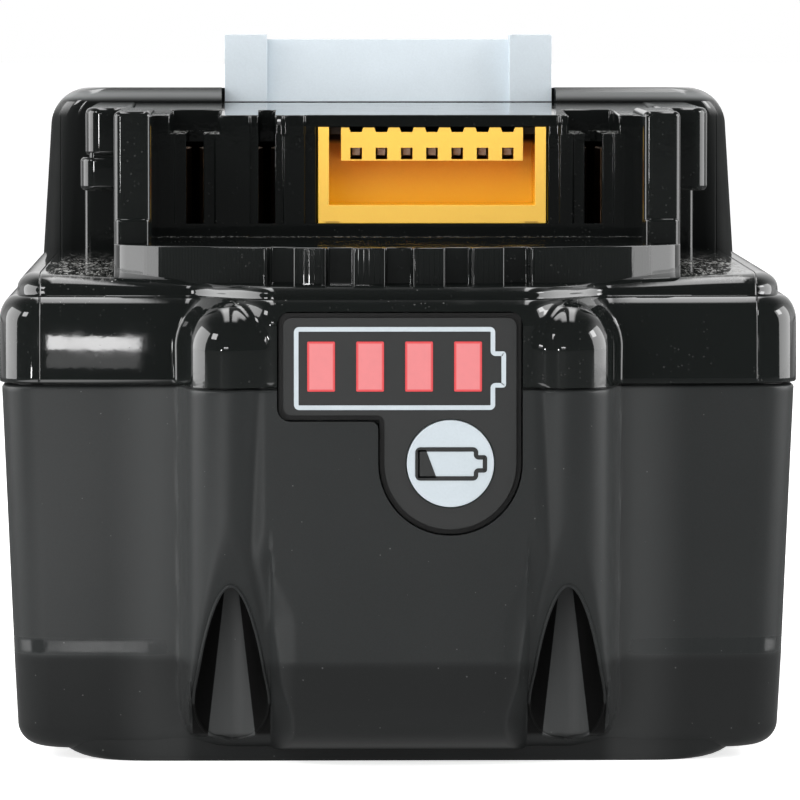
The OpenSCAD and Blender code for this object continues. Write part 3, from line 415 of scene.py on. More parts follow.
# %% Posts, flanges and stops
FLANGE_Z, FLANGE_HW = 53.65, 31.0
post = joined(block((23.6, Y_POST, 45.5), (BLOCK_HW, -19.5, RAIL_Z), 0.75, top=0.55),
              block((23.75, Y_POST - 0.3, 45.5), (BLOCK_HW - 0.15, -39, 51.6), 0.6, top=0.35),
              block((25, 15.5, 46), (FLANGE_HW + 0.6, 20, FLANGE_Z + 1), 0.6, top=0.4))
posts = solid("posts", joined(post, mirrored(post)))
dress(posts, "case_gloss", stands_for=["upper_case"])
right_flange = block((26, Y_BAY, FLANGE_Z), (FLANGE_HW, 20, RAIL_Z), 1.6, top=0.6, bottom=0.5)
left_flange = joined(block((-FLANGE_HW, Y_BAY, FLANGE_Z), (-26, 20, 56.95), 1.6, top=0.4, bottom=0.5),
                     block((-30.1, Y_BAY + 0.3, 56.4), (-26, 20, 57.6), 0.5),
                     block((-30.5, Y_BAY, 57.15), (-26, 20, RAIL_Z), 1.6, top=0.6, bottom=0.4))
flanges = solid("flanges", joined(left_flange, right_flange))
dress(flanges, "case_gloss", stands_for=["upper_case"])

# %% [markdown]
# ## The hump
#
# Behind the block the case rises to a rounded hump that hides the latch. Its walls lean in a little and roll over into
# the top on quarter circles, and the top falls slightly to the rear. The hook's opening, the release well and the room
# inside are cut out afterwards.

# %% Hump
HUMP_Z, Y_HUMP, HUMP_REAR, HUMP_FALL = 63.35, 18.0, 56.4, 0.022
hump_z = np.concatenate([np.linspace(46, 57, 6), np.linspace(57.5, 61.6, 12), HUMP_Z - 1.5 * (1 - np.sin(turn))])


def roll_over(z, low, high, radius):
    """Inset of a wall that leans in from low to high and ends in a quarter circle under the top."""
    knee = HUMP_Z - radius
    lean = mix(low, high, np.clip((z - 44.75) / (knee - 44.75), 0, 1))
    return lean + radius - np.sqrt(np.maximum(radius**2 - np.maximum(z - knee, 0) ** 2, 0))


side_x, back_y = 36.1 - roll_over(hump_z, 0, 0.9, 4.0), HUMP_REAR - roll_over(hump_z, 0, 2.4, 6.0)
front_y = Y_HUMP + roll_over(hump_z, 0, 0, 1.5)
hump_rings = np.array([
    np.column_stack([rounded([(-x, f), (x, f), (x, b), (-x, b)], [3.0, 3.0, 5, 5], 10), np.full(44, z)])
    for x, f, b, z in zip(side_x, front_y, back_y, hump_z)])
hump_rings[..., 2] -= HUMP_FALL * (hump_rings[..., 1] - Y_HUMP) * ease((hump_rings[..., 2] - 50) / 13)
hump = solid("hump", skin(hump_rings))
carve(hump,
      block((-32, 20, 45), (32, 49, 60)),
      block((-17.4, 16, RAIL_Z), (17.4, 23, 66)),
      block((-17.4, 22.2, 58), (17.4, 27.8, 66)),
      block((-14.1, 51, 43), (14.1, 62, 61.25), 0.8),
      block((-8.3, 48, 45.6), (8.3, 52, 57.3)))
dress(hump, "case_gloss", stands_for=["upper_case"])

# %% [markdown]
# ## The lower case
#
# The satin half leans inwards towards its base. Panel, columns and side panels all run to one straight edge at the
# bottom, so every depth is blended to the same value there. The screwdriver bores are plain cylinders. Each column is
# planed off by a leaning, slightly bent face. Where that face meets the bore, the wall opens as an egg-shaped window.

# %% Lower case
SEAM_Z, FOOT_H, CREASE_Z, TEAR_TOP, CHIN_H = 36.3, 1.05, 11.8, 17.5, 5.0
BORE_Y, BORE_R, BASE_R = -53.05, 3.6, 2.4
REAR_X, REAR_Y, REAR_R = 26, 51.9, 2.4


def lower_front(x, z):
    """Depth of the lower front.

    The sides lean in by a millimetre over their height, more below the crease, and carry a low ridge along it. The
    panel tucks under to the sides' depth on a quarter ellipse. A column is a half circle whose crown curls back at the
    base, and below the window's top it is planed off by a parabola.
    """
    crease = np.maximum(0, CREASE_Z - 1.5 - z) * 0.18
    tuck = 0.96 * (1 - np.sqrt(np.maximum(0, 1 - np.maximum(0, 1 - (z - FOOT_H) / CHIN_H) ** 2)))
    ridge = 0.147 * -soft_min(-soft_min(CREASE_Z - z, 1.3, 0.2), 0, 0.2) * ease((np.abs(x) - 21) / 3)
    side = Y_SIDE + (SEAM_Z - z) / SEAM_Z + crease - ridge
    panel = mix(Y_PANEL + 0.9 * crease, side, tuck)
    curl = 1 - np.sqrt(np.maximum(0, 1 - np.clip(1 - (z - 2.4) / 6, 0, 1) ** 2))
    crown = mix(Y_FRONT + 0.043 * (SEAM_Z - z), side, curl)
    low = TEAR_TOP - z
    planed = BORE_Y - BORE_R + 0.17 * low + 0.006 * np.maximum(0, low) ** 2 - 0.5 * soft_min(0, 9.3 - low, 1.5)
    reach = np.abs(np.abs(x) - COL_X)
    column = crown + COL_R - np.sqrt(np.maximum(COL_R**2 - reach**2, 0)) + 4 * np.maximum(reach - COL_R, 0)
    half = mix(PANEL_HW + 0.8, PANEL_HW - 2.2, ease((21.45 - z) / 8))
    front = soft_min(plain_front(x, panel, side, half), column, 0.6)
    return -soft_min(-front, 2 * np.maximum(0, reach - BORE_R - 0.1) - planed, 0.25)


def base_round(z):
    """How far the walls curl under at the base, along a quarter circle."""
    return BASE_R - np.sqrt(np.maximum(0, BASE_R**2 - np.maximum(0, FOOT_H + BASE_R - z) ** 2))


low_z = np.concatenate([FOOT_H + CHIN_H * (1 - np.cos(np.linspace(0, math.pi / 2, 26))), np.linspace(6.4, 10.3, 12),
                        np.linspace(10.4, 12.4, 21), np.linspace(12.7, 35.7, 66), [35.8, 35.9, 36.0, 36.0, 37.2]])
low_in = base_round(low_z)
low_in[-5:] = [0.02, 0.1, 0.25, 1.0, 1.0]
share = (low_z - FOOT_H) / (SEAM_Z - FOOT_H)
lower = solid("lower_shell", skin(case_rings(
    low_z, mix(FLOOR_HW, SEAM_HW, share) - low_in, Y_REAR - (1 - share) - low_in,
    lambda x, z: lower_front(x, z) + low_in[:, None])))


def round_bar(x, y, r, z0, z1, count=72):
    """An upright cylinder as a slab with many corners."""
    a = np.arange(count) * 2 * math.pi / count
    ring = np.column_stack([x + r * np.cos(a), y + r * np.sin(a)])
    return skin(np.array([np.column_stack([ring, np.full(count, z)]) for z in (z0, z1)]))


front_bores = [round_bar(x, BORE_Y, BORE_R, -1, 20) for x in (-COL_X, COL_X)]
rear_bores = [round_bar(x, REAR_Y, REAR_R, -1, 20, 40) for x in (-REAR_X, REAR_X)]
carve(lower,
      block((-34.4, -47.1, 3.25), (34.4, 55.2, 40), 3),
      block((-12.3, -55.6, 21.5), (12.3, -46, 40)),
      label_hole, *front_bores, *rear_bores)
dress(lower, "case_satin", stands_for=["lower_case"])

# %% [markdown]
# ## The foot
#
# The pack stands on a low tray that is a little smaller than the shell above it. Its outline grows along a quarter
# circle from the table up, and its front edge bows like the side panels.

# %% Foot
foot_rings = []
for t in np.linspace(0, math.pi / 2, 10):
    half, near, far = 28.2 + 4.4 * math.sin(t), -47.5 - 0.4 * math.sin(t), 53 + 1.5 * math.sin(t)
    across = np.concatenate([[-half], np.linspace(5 - half, half - 5, 21), [half]])
    bowed = near + BOW * (np.maximum(0, np.abs(across) - FLANK_HW) / (RIM_HW - FLANK_HW)) ** 2
    outline = rounded([*zip(across, bowed), (half, far), (-half, far)], [4] + [0.02] * 21 + [4, 4, 4], 8)
    foot_rings.append(np.column_stack([outline, np.full(len(outline), 2.6 * (1 - math.cos(t)))]))
foot = solid("foot", skin(np.array(foot_rings)))
carve(foot, *rear_bores)
dress(foot, "case_satin", stands_for=["lower_case"])

# %% [markdown]
# ## A bead round each bore window
#
# The edge of the egg-shaped window catches the light because it is slightly broken. A thin tube along the curve where
# bore and column meet shows the same line. For each direction round the bore, the height of the meeting point is found
# by comparing the two depths on a fine ladder of heights.

# %% Beads
phi = np.linspace(-3.1, 3.1, 180)
ladder = np.linspace(1.3, 19, 1200)
bore_x, bore_depth = COL_X + BORE_R * np.sin(phi), BORE_Y - BORE_R * np.cos(phi)
gap = lower_front(bore_x[:, None], ladder[None, :]) + base_round(ladder) - bore_depth[:, None]
meet = ladder[len(ladder) - 1 - np.argmax(gap[:, ::-1] > 0, axis=1)]
path = np.column_stack([bore_x, bore_depth - 0.02, meet])


def tube(path, radius, count=8, axis=(0.0, 1.0, 0.0)):
    """A round tube: at each point of a path stands a circle, square to the path, its first spoke square to an axis."""
    along = np.gradient(path, axis=0)
    along /= np.linalg.norm(along, axis=1, keepdims=True)
    side = np.cross(along, axis)
    side /= np.linalg.norm(side, axis=1, keepdims=True)
    up = np.cross(side, along)
    a = np.linspace(0, 2 * math.pi, count, endpoint=False)[None, :, None]
    return skin(path[:, None] + radius * (np.cos(a) * side[:, None] + np.sin(a) * up[:, None]))


bead = tube(path, 0.16)
dress(solid("bore_beads", joined(bead, mirrored(bead))), "case_satin", stands_for=["lower_case"])

# %% [markdown]
# ## Gauge label, windows and button
#
# The gauge is a printed film on a black carrier. Its four light windows and the round button come through it. The film
# is a thin slab with a hole for the button, so that the button can sink when it is pressed. The print is ink: flat
# bands a few hundredths of a millimetre proud.

# %% Gauge
LABEL_Y, FILM_BACK = -57.1, -56.85
LIGHT_X, LIGHT_PITCH, LIGHT_HW = [-7.4, -2.8, 1.8, 6.4], 4.6, 1.3
LIGHT_Z, LIGHT_HH = 38.18, 2.35


def disc(x, z, r, y0, y1, edge=0.0, count=96):
    """A round slab along the depth, its front edge rounded."""
    a = np.arange(count) * 2 * math.pi / count
    corners = np.column_stack([x + r * np.cos(a), z + r * np.sin(a)])
    return slab(corners, 0.01, y0, y1, bottom=edge, axis="y", steps=0)


def plate(x0, x1, z0, z1, radius, y0, y1, edge=0.0):
    """A thin rounded rectangle that faces the front."""
    return slab([(x0, z0), (x1, z0), (x1, z1), (x0, z1)], radius, y0, y1, bottom=edge, axis="y")


def band(outer, inner, y0, y1):
    """A frame between two outlines of equal count, from y0 to y1: four rings joined round its section."""
    count = len(outer)
    rings = np.array([np.column_stack([o[:, 0], np.full(count, y), o[:, 1]])
                      for o, y in ((outer, y0), (inner, y0), (inner, y1), (outer, y1))])
    here = np.arange(4 * count).reshape(4, count)
    beside = np.roll(here, -1, axis=1)
    quads = np.stack([here, beside, np.roll(beside, -1, axis=0), np.roll(here, -1, axis=0)], axis=-1)
    return rings.reshape(-1, 3), quads.reshape(-1, 4).tolist()


film = solid("label_film", slab(*label_outline(0.0), LABEL_Y, FILM_BACK, axis="y", steps=14))
carve(film, disc(LOBE_X, LOBE_Z, 4.2, -59, -55))
dress(film, "label_film", stands_for=["gauge_label"])
glow = solid("windows", joined(*[
    plate(x - LIGHT_HW, x + LIGHT_HW, LIGHT_Z - LIGHT_HH, LIGHT_Z + LIGHT_HH, 0.12, LABEL_Y - 0.04, -53.4)
    for x in LIGHT_X]))
dress(glow, "window_red", stands_for=["gauge_windows"])


def battery_sign(x0, x1, z0, z1, nub, nub_z0, nub_z1, stroke):
    """Outline corners of a lying battery: a box with a nub on its right end, and the same drawn in by the stroke."""
    r = 0.5
    outer = rounded([(x0, z0), (x1, z0), (x1, nub_z0), (nub, nub_z0), (nub, nub_z1), (x1, nub_z1), (x1, z1), (x0, z1)],
                    [r, r, 0.05, r * 0.6, r * 0.6, 0.05, r, r])
    return outer, drawn_in(outer, stroke)


ink_y = LABEL_Y - 0.03
frame_sign = battery_sign(-9.95, 8.95, 34.1, 41.9, 9.97, 36.2, 39.6, 0.43)
print_outline = solid("print_outline", band(*frame_sign, ink_y, LABEL_Y + 0.05))
dress(print_outline, "button_white", crisp=20)

# %% [markdown]
# ## The check button
#
# A white cap with a small battery drawn on it. It moves, so the cap and its print ride on the button's own body.

# %% Button
BUTTON_FRONT = -57.25
cap = solid("button_cap", joined(disc(LOBE_X, LOBE_Z, 4.1, BUTTON_FRONT, -55.9, edge=0.12),
                                 disc(LOBE_X, LOBE_Z, 1.3, -56.2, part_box("check_button")[1][1] / MM)))
dress(cap, "button_white", body="gauge_button", stands_for=["check_button"])
icon_y = (BUTTON_FRONT - 0.03, BUTTON_FRONT + 0.05)
sign = band(*battery_sign(1.43, 7.36, 27.45, 30.6, 8.2, 28.2, 29.85, 0.42), *icon_y)
charge = slab([(1.7, 27.7), (3.45, 27.7), (2.45, 30.35), (1.7, 30.35)], 0.05, *icon_y, axis="y")
dress(solid("button_print", joined(sign, charge)), "label_film", body="gauge_button", crisp=20)

# %% [markdown]
# ## Hook and release button
#
# These are boxy mouldings with many small steps. Their CAD shapes are right already and only lack broken edges, so each
# one is copied, its flat faces are merged, and a bevel rounds every edge.

# %% Softened copies
POCKET_X, POCKET_Y, POCKET_Z = 11, 25, 51.75


def break_edges(obj, width):
    """Merges the flat faces of an object and rounds its edges by a bevel of that width in millimetres."""
    tidy = bmesh.new()
    tidy.from_mesh(obj.data)
    bmesh.ops.remove_doubles(tidy, verts=tidy.verts, dist=1e-6)
    bmesh.ops.dissolve_limit(tidy, angle_limit=math.radians(1), verts=tidy.verts, edges=tidy.edges)
    tidy.to_mesh(obj.data)
    tidy.free()
    step = obj.modifiers.new("edges", "BEVEL")
    step.width, step.segments, step.limit_method, step.angle_limit = width * MM, 3, "ANGLE", math.radians(40)
    return bake(obj)


def soften(node, width, slot, body):
    """A copy of a CAD node with rounded edges, in its place. The roofs of the spring pockets go up by a hair."""
    mesh = frame["nodes"][node].data.copy()
    points = np.empty(3 * len(mesh.vertices))
    mesh.vertices.foreach_get("co", points)
    x, y, z = points.reshape(-1, 3).T / MM
    pocket = (np.hypot(np.abs(x) - POCKET_X, y - POCKET_Y) < 2.4) & (np.abs(z - POCKET_Z) < 0.05)
    points[2::3] += 0.1 * MM * pocket
    mesh.vertices.foreach_set("co", points)
    print(node, pocket.sum(), "points moved")
    if "custom_normal" in mesh.attributes:
        mesh.attributes.remove(mesh.attributes["custom_normal"])
    obj = bpy.data.objects.new(node + "_soft", mesh)
    bpy.context.scene.collection.objects.link(obj)
    return dress(break_edges(obj, width), slot, body, [node])


soften("latch_hook", 0.4, "latch_grey", "latch")
soften("release_button", 0.3, "release_red", "latch")

# %% [markdown]
# ## Latch springs
#
# Two coil springs push the hook up. A coil is a tube along a helix: height grows evenly while the angle turns. The
# hook can be pressed down by seven millimetres; these coils are made at their rest length and do not shorten with it.

# %% Springs
CURLS, CURL_R, TRAVEL = 7, 1.7, 7.0
for side in ("left", "right"):
    low, high = (np.array(corner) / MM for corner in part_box("latch_spring_" + side))
    seat, wire = (low + high) / 2, (high - low)[0] / 2 - CURL_R
    t = np.linspace(0, 2 * math.pi * CURLS, CURLS * 28)
    rise = np.linspace(low[2] + wire, high[2] - wire, len(t))
    helix = np.column_stack([seat[0] + CURL_R * np.cos(t), seat[1] + CURL_R * np.sin(t), rise])
    coil = solid("coil_" + side, tube(helix, wire, axis=(0.0, 0.0, 1.0)))
    dress(coil, "steel", stands_for=["latch_spring_" + side])
    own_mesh(coil)

# %% [markdown]
# ## The signal connector
#
# A yellow socket sits in the block's window. Its tongue carries seven square ways with a notch above each one. Outer
# block, room, ways and notches are made like the moulding: a solid, with cores taken out.

# %% Connector
CONN_Y, WAY_PITCH = -20.3, 2.5
way_x = WINDOW_X + WAY_PITCH * np.arange(-3, 4)
socket = solid("connector", block((-7.5, CONN_Y, 50.45), (15.0, -5.4, 59.93), 0.05))
carve(socket, block((-6.45, -22, 52.2), (13.95, -10.3, 61), 0.1),
      joined(*[block((x - 0.66, -21, 50), (x + 0.66, -19.9, 50.62), 0.02) for x in (-6.1, 13.6)]))
tongue = solid("tongue", block((-5.25, CONN_Y + 0.5, 56.6), (12.75, -9, 59.88), 0.05))
notch = [slab([(x - 0.85, 60.3), (x - 0.55, 59.42), (x + 0.55, 59.42), (x + 0.85, 60.3)], 0.02, -22, -8, axis="y")
         for x in way_x]
carve(tongue, joined(*[block((x - 0.58, -22, 56.72), (x + 0.58, -9.5, 57.88), 0.02) for x in way_x]), joined(*notch))
lid = solid("connector_lid", block((-7.2, -18.6, 59.2), (14.7, -9, 59.9), 0.05))
carve(lid, joined(*notch))
for obj in (socket, tongue, lid):
    dress(break_edges(obj, 0.12), "connector_yellow", stands_for=["signal_connector"])

# %% [markdown]
# ## Formulas as materials
#
# A finish is easier to read as a formula than as a list of nodes. The class below wraps one output of a node tree, so
# that plus, minus and times make the nodes. Any other kind of node comes from one method.

# %% Wires
class Wire:
    """One output socket of a material's node tree."""

    def __init__(self, tree, socket):
        self.tree, self.socket = tree, socket

    def node(self, kind, out=0, settings=(), **values):
        """Any node: settings are its properties, values go to its inputs by name, spaces written as underscores."""
        made = self.tree.nodes.new("ShaderNode" + kind)
        for key, value in dict(settings).items():
            setattr(made, key, value)
        for key, value in values.items():
            self.feed(made.inputs[key.replace("_", " ")], value)
        return Wire(self.tree, made.outputs[out])

    def feed(self, socket, value):
        """Links a wire to an input, or sets it to a constant."""
        if isinstance(value, Wire):
            self.tree.links.new(value.socket, socket)
        else:
            socket.default_value = value

    def math(self, operation, *values, flat=True):
        """A Math node, or a Vector Math node where flat is off."""
        made = self.tree.nodes.new("ShaderNodeMath" if flat else "ShaderNodeVectorMath")
        made.operation = operation
        for socket, value in zip(made.inputs, values):
            self.feed(socket, value)
        return Wire(self.tree, made.outputs[0])

    def __add__(self, other):
        return self.math("ADD", self, other)

    __radd__ = __add__

    def __sub__(self, other):
        return self.math("SUBTRACT", self, other)

    def __rsub__(self, other):
        return self.math("SUBTRACT", other, self)

    def __mul__(self, other):
        return self.math("MULTIPLY", self, other)

    __rmul__ = __mul__

    def __truediv__(self, other):
        return self.math("DIVIDE", self, other)

    def __rtruediv__(self, other):
        return self.math("DIVIDE", other, self)

    def __gt__(self, other):
        return self.math("GREATER_THAN", self, other)

    def __lt__(self, other):
        return self.math("LESS_THAN", self, other)

    def __abs__(self):
        return self.math("ABSOLUTE", self)

    def larger(self, other):
        """The larger of two wires."""
        return self.math("MAXIMUM", self, other)

    def scaled(self, factor):
        """A vector wire times a number."""
        made = self.math("SCALE", self, flat=False)
        made.socket.node.inputs["Scale"].default_value = factor
        return made

    def parts(self):
        """The three parts of a vector wire."""
        made = self.tree.nodes.new("ShaderNodeSeparateXYZ")
        self.feed(made.inputs[0], self)
        return [Wire(self.tree, out) for out in made.outputs]

    def between(self, low, high):
        """0 below low, 1 above high, smooth in between."""
        return self.node("MapRange", settings={"interpolation_type": "SMOOTHSTEP"}, Value=self,
                         From_Min=low, From_Max=high)

    def noise(self, scale, detail=2.0, roughness=0.5):
        """Noise of that many waves per millimetre, about 0.5 on average."""
        return self.node("TexNoise", Vector=self, Scale=scale, Detail=detail, Roughness=roughness)

    def blend(self, low, high):
        """A colour from low to high as this wire goes from 0 to 1."""
        made = self.tree.nodes.new("ShaderNodeMix")
        made.data_type = "RGBA"
        for socket, value in zip([made.inputs[0], made.inputs[6], made.inputs[7]], (self, low, high)):
            self.feed(socket, value if isinstance(value, (Wire, float)) else (*value, 1.0))
        return Wire(self.tree, made.outputs[2])

    def bump(self, distance, strength=1.0):
        """A normal from this wire as a height, distance in millimetres."""
        return self.node("Bump", Height=self, Distance=distance * MM, Strength=strength)


def finish(name, formula, **constants):
    """A material: formula takes the position in millimetres and gives the inputs that vary."""
    material = bpy.data.materials.new(name)
    material.use_nodes = True
    tree = material.node_tree
    shader = tree.nodes["Principled BSDF"]
    for key, value in constants.items():
        shader.inputs[key.replace("_", " ")].default_value = value
    place = Wire(tree, tree.nodes.new("ShaderNodeTexCoord").outputs["Object"]).scaled(1 / MM)
    for key, wire in formula(place).items():
        place.feed(shader.inputs[key.replace("_", " ")], wire)
    return material


# %% [markdown]
# ## Polished plastic with dust
#
# The upper half is polished black plastic with handling marks and dust. Dust lies on faces that look up, in specks of a
# tenth of a millimetre, more in some patches than in others.

# %% Gloss
def specks(place, per_mm, size):
    """1 inside small round dots: Voronoi cells whose centre is nearer than a size that differs from cell to cell."""
    cell = place.tree.nodes.new("ShaderNodeTexVoronoi")
    place.feed(cell.inputs["Vector"], place)
    cell.inputs["Scale"].default_value = per_mm
    chance = Wire(place.tree, cell.outputs["Color"]).parts()[0]
    return Wire(place.tree, cell.outputs["Distance"]) < (chance - 0.55) * size * per_mm * 2.2


def gloss(place):
    """Black with handling marks in the shine, specks everywhere and thick dust on the ledges beside the block."""
    x, y, z = place.parts()
    wide = abs(x)
    up = place.node("NewGeometry", out="Normal").parts()[2].between(0.5, 0.95)
    ledge = up * wide.between(26.8, 27.6) * (1 - wide.between(32.8, 34.0)) * y.between(-48.5, -44.0)
    ledge = ledge * (1 - y.between(-25, 18)) * (1 - z.between(47.2, 48.2))
    bay = up * y.between(-27.0, -21.0) * (1 - y.between(-20.4, -20.0)) * (1 - z.between(50.0, 51.0))
    heads = up * z.between(59.0, 59.2) * (1 - z.between(59.4, 59.6)) * (wide > 16)
    lying = place.math("MULTIPLY", place, (1.0, 0.16, 1.0), flat=False)
    thick = lying.noise(2.2, 6.0, 0.8).between(0.45, 0.62) * (0.6 * ledge + 0.5 * bay + 0.6 * heads)
    patch = place.noise(0.15, 3.0).between(0.42, 0.66)
    thin = specks(place, 2.9, 0.10) * (0.05 + 0.35 * up) * patch
    cover = thick.larger(thin)
    smudge = place.noise(0.25, 4.0, 0.6).between(0.4, 0.75)
    line = abs(wide - 34.1).between(0.0, 0.12)
    return {"Base_Color": cover.blend((0.0065, 0.0075, 0.0072), (0.45, 0.45, 0.43)),
            "Roughness": 0.03 + 0.05 * smudge + 0.6 * cover,
            "Normal": (place.noise(0.9, 2.0) * 0.05 + line).bump(0.05)}


# %% [markdown]
# ## Satin and worn plastic
#
# The lower half has a fine spark-eroded grain that breaks up reflections. Its colour also holds painted shade
# below the crease and on the bore sides, and painted light beside the columns and on the bore backs. The hump is
# rubbed by the tools that slide over it, so its walls are dull; the pale band along its front edge is a painted
# reflection.

# %% Satin and worn
def satin(place):
    """Dark grey with fine grain and clouds; painted shade below the crease and on the bore sides, painted light beside
    the columns and on the bore backs.
    """
    x, y, z = place.parts()
    wide = abs(x)
    off = abs(wide - COL_X)
    inside = y.between(-53.3, -52.9) * (1 - y.between(-48.9, -48.7)) * (off < BORE_R + 0.1) * z.between(2.3, 3.0)
    # Painted shade: the bore walls beside its lit back are made black.
    painted_bore_shade = inside * (off > 0.55 + (TEAR_TOP - z) * 0.115)
    cloud = place.noise(0.08, 3.0)
    grain = place.noise(7.0, 2.0, 0.7)
    spot = specks(place, 1.1, 0.08) * 0.25
    front = 1 - y.between(-46, -44)
    # Painted light: the side panels next to the columns are made lighter.
    beside = 0.7 * front * wide.between(19, 21) * (1 - wide.between(22.5, 28))
    ridge = front * z.between(10.3, 10.6) * (1 - z.between(11.7, 12.0)) * wide.between(21, 24)
    tone = (0.35 * cloud + 0.65 * grain).blend((0.0115, 0.0126, 0.0127), (0.0235, 0.0252, 0.0252))
    # Painted light: lighter colour beside the columns and on the bore backs.
    tone = beside.larger(inside).blend(tone, (0.047, 0.049, 0.049))
    # Painted shade: the front is made darker below the crease.
    tone = (0.42 * front * (1 - z.between(9.6, 10.6)) * (1 - inside)).blend(tone, (0.004, 0.004, 0.004))
    # Light dust specks, then the painted shade of the bore sides.
    tone = painted_bore_shade.blend(spot.blend(tone, (0.3, 0.3, 0.3)), (0.002, 0.002, 0.002))
    return {"Base_Color": tone,
            "Roughness": 0.27 + 0.12 * grain + 0.3 * painted_bore_shade - 0.2 * ridge,
            "Normal": grain.bump(0.012, 0.5)}


def worn_and_painted_sheen(place):
    """The hump: its walls are dulled by the tool that slides over them, and a pale painted reflection lies along its
    front edge.
    """
    _, y, z = place.parts()
    # Painted reflection: a pale band along the hump's front-top rounding.
    painted_edge_sheen = z.between(61.8, 62.5) * (1 - z.between(62.6, 63.3)) * (1 - y.between(19.5, 20.5))
    return gloss(place) | {"Base_Color": painted_edge_sheen.blend((0.0055, 0.0062, 0.006), (0.17, 0.175, 0.175)),
                           "Roughness": 0.4 + 0.15 * place.noise(0.5, 4.0), "Coat_Weight": z.between(60.2, 61.8)}


finishes = {"case_gloss": finish("case_gloss", gloss, IOR=1.52), "case_satin": finish("case_satin", satin, IOR=1.30),
            "hump": finish("case_worn", worn_and_painted_sheen, Specular_IOR_Level=0.05, Coat_Roughness=0.06)}
print("case finishes made")

# %% [markdown]
# ## Coloured plastics, ink and metal
#
# Every other finish starts from the colour that the record states for its slot. Two noises vary it: a slow one for the
# melt's flow and a fast one for the surface. The light windows also glow, and more deeply red towards their edges.

# %% All other finishes
colours = {m["slot"]: m["base_color"] for m in frame["record"]["materials"]}
# These colours replace the record's. The dark terminal_copper is painted shade for terminals deep in their slots.
colours.update(contact_brass=(0.45, 0.40, 0.36), black_plastic=(0.004, 0.004, 0.004),
               terminal_copper=(0.20, 0.12, 0.07), label_film=(0.018, 0.019, 0.019),
               connector_yellow=(0.98, 0.53, 0.055), button_white=(0.39, 0.435, 0.465), latch_grey=(0.64, 0.71, 0.76))
ROUGH = {"steel": 0.32, "latch_grey": 0.42, "connector_yellow": 0.36, "button_white": 0.5, "label_film": 0.6,
         "contact_brass": 0.45, "terminal_copper": 0.3, "nickel_strip": 0.3, "board_green": 0.35, "led_white": 0.2}
METAL = {"steel", "contact_brass", "terminal_copper", "nickel_strip"}


def moulded(slot):
    """Formula for a slot: its colour a little darker and lighter in slow clouds, fine grain in shine and surface."""
    base = colours[slot]
    rough = ROUGH.get(slot, 0.45)

    def formula(place):
        cloud, grain = place.noise(0.15, 3.0), place.noise(5.0, 2.0)
        tone = (0.6 * cloud + 0.4 * grain).blend([0.86 * c for c in base], [min(1, 1.1 * c) for c in base])
        return {"Base_Color": tone, "Roughness": rough - 0.06 + 0.12 * grain, "Normal": grain.bump(0.006)}

    return formula


def nylon_with_painted_light(place):
    """Yellow plastic with painted light: it glows in front and low in its room, and has painted shade above the tongue.
    """
    _, y, z = place.parts()
    room = y.between(-19.6, -18.9)
    # Painted shade: the room's roof above the tongue is made nearly black.
    roof = room * z.between(58.0, 58.6)
    # Painted light: emission in front and low in the room stands in for light falling there.
    glow = (room * z.between(52.5, 56.6)).blend(room.blend((0.20, 0.15, 0.05), (0.15, 0.098, 0.0)), (0.0, 0.0, 0.0))
    cast = moulded("connector_yellow")(place)
    return cast | {"Base_Color": roof.blend(cast["Base_Color"], (0.02, 0.01, 0.002)), "Emission_Color": glow}


def lit(place):
    """Red light guide: pale in the middle of each window, red within a quarter millimetre of its edge."""
    x, _, z = place.parts()
    turns = (x - LIGHT_X[0] + LIGHT_PITCH / 2) / LIGHT_PITCH
    dx = abs(turns.math("FRACT", turns) - 0.5) * LIGHT_PITCH
    dz = abs(z - LIGHT_Z)
    near_edge = (dx - LIGHT_HW).larger(dz - LIGHT_HH)
    glow = near_edge.between(-0.28, -0.10).blend((0.60, 0.205, 0.215), (0.54, 0.01, 0.018))
    return {"Base_Color": place.noise(1.5).blend((0.16, 0.03, 0.03), (0.22, 0.045, 0.045)), "Emission_Color": glow,
            "Roughness": 0.35 + 0.1 * place.noise(2.0)}


for slot in colours:
    if slot not in finishes and slot not in ("window_red", "connector_yellow"):
        finishes[slot] = finish(slot, moulded(slot), Metallic=1.0 if slot in METAL else 0.0)
finishes["window_red"] = finish("window_red", lit, Emission_Strength=1.0)
finishes["connector_yellow"] = finish("connector_yellow", nylon_with_painted_light, Emission_Strength=1.0, Specular_IOR_Level=0.25)
slot_of = {part["node"]: part["material_slot"] for part in frame["record"]["subparts"]}
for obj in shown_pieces():
    obj.data.materials.clear()
    obj.data.materials.append(finishes.get(obj.name) or finishes[obj.get("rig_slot") or slot_of[obj["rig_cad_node"]]])

# %% [markdown]
# ## Table
#
# The pack stands on a white table, and the camera sees it white. What polished plastic mirrors is chosen apart from
# that: there the table is dark but for three areas, because that is what keeps black plastic black.

# %% Table
scene = bpy.context.scene
scene.view_settings.view_transform = "Standard"


def table_top(place):
    """White, but in mirrors dark apart from three light areas, so that upright faces don't reflect a white table."""
    x, y, _ = place.parts()
    wide = abs(x).between(350, 650) * y.between(-420, -330)
    left = 5 * (0 - x).between(20, 60) * (1 - (0 - x).between(110, 160))
    left = left * (0 - y).between(60, 110) * y.between(-600, -450)
    near = 0.3 * y.between(-78, -62) * (1 - y.between(62, 78))
    mirror = place.node("LightPath", out="Is Glossy Ray")
    white = (0.92, 0.92, 0.92)
    tone = mirror.blend(white, 0.04 + 0.8 * near.larger(wide.larger(left)))
    return {"Base_Color": mirror.blend(white, (0.04, 0.04, 0.04)), "Emission_Color": tone,
            "Roughness": 0.9 - 0.02 * place.noise(0.05)}


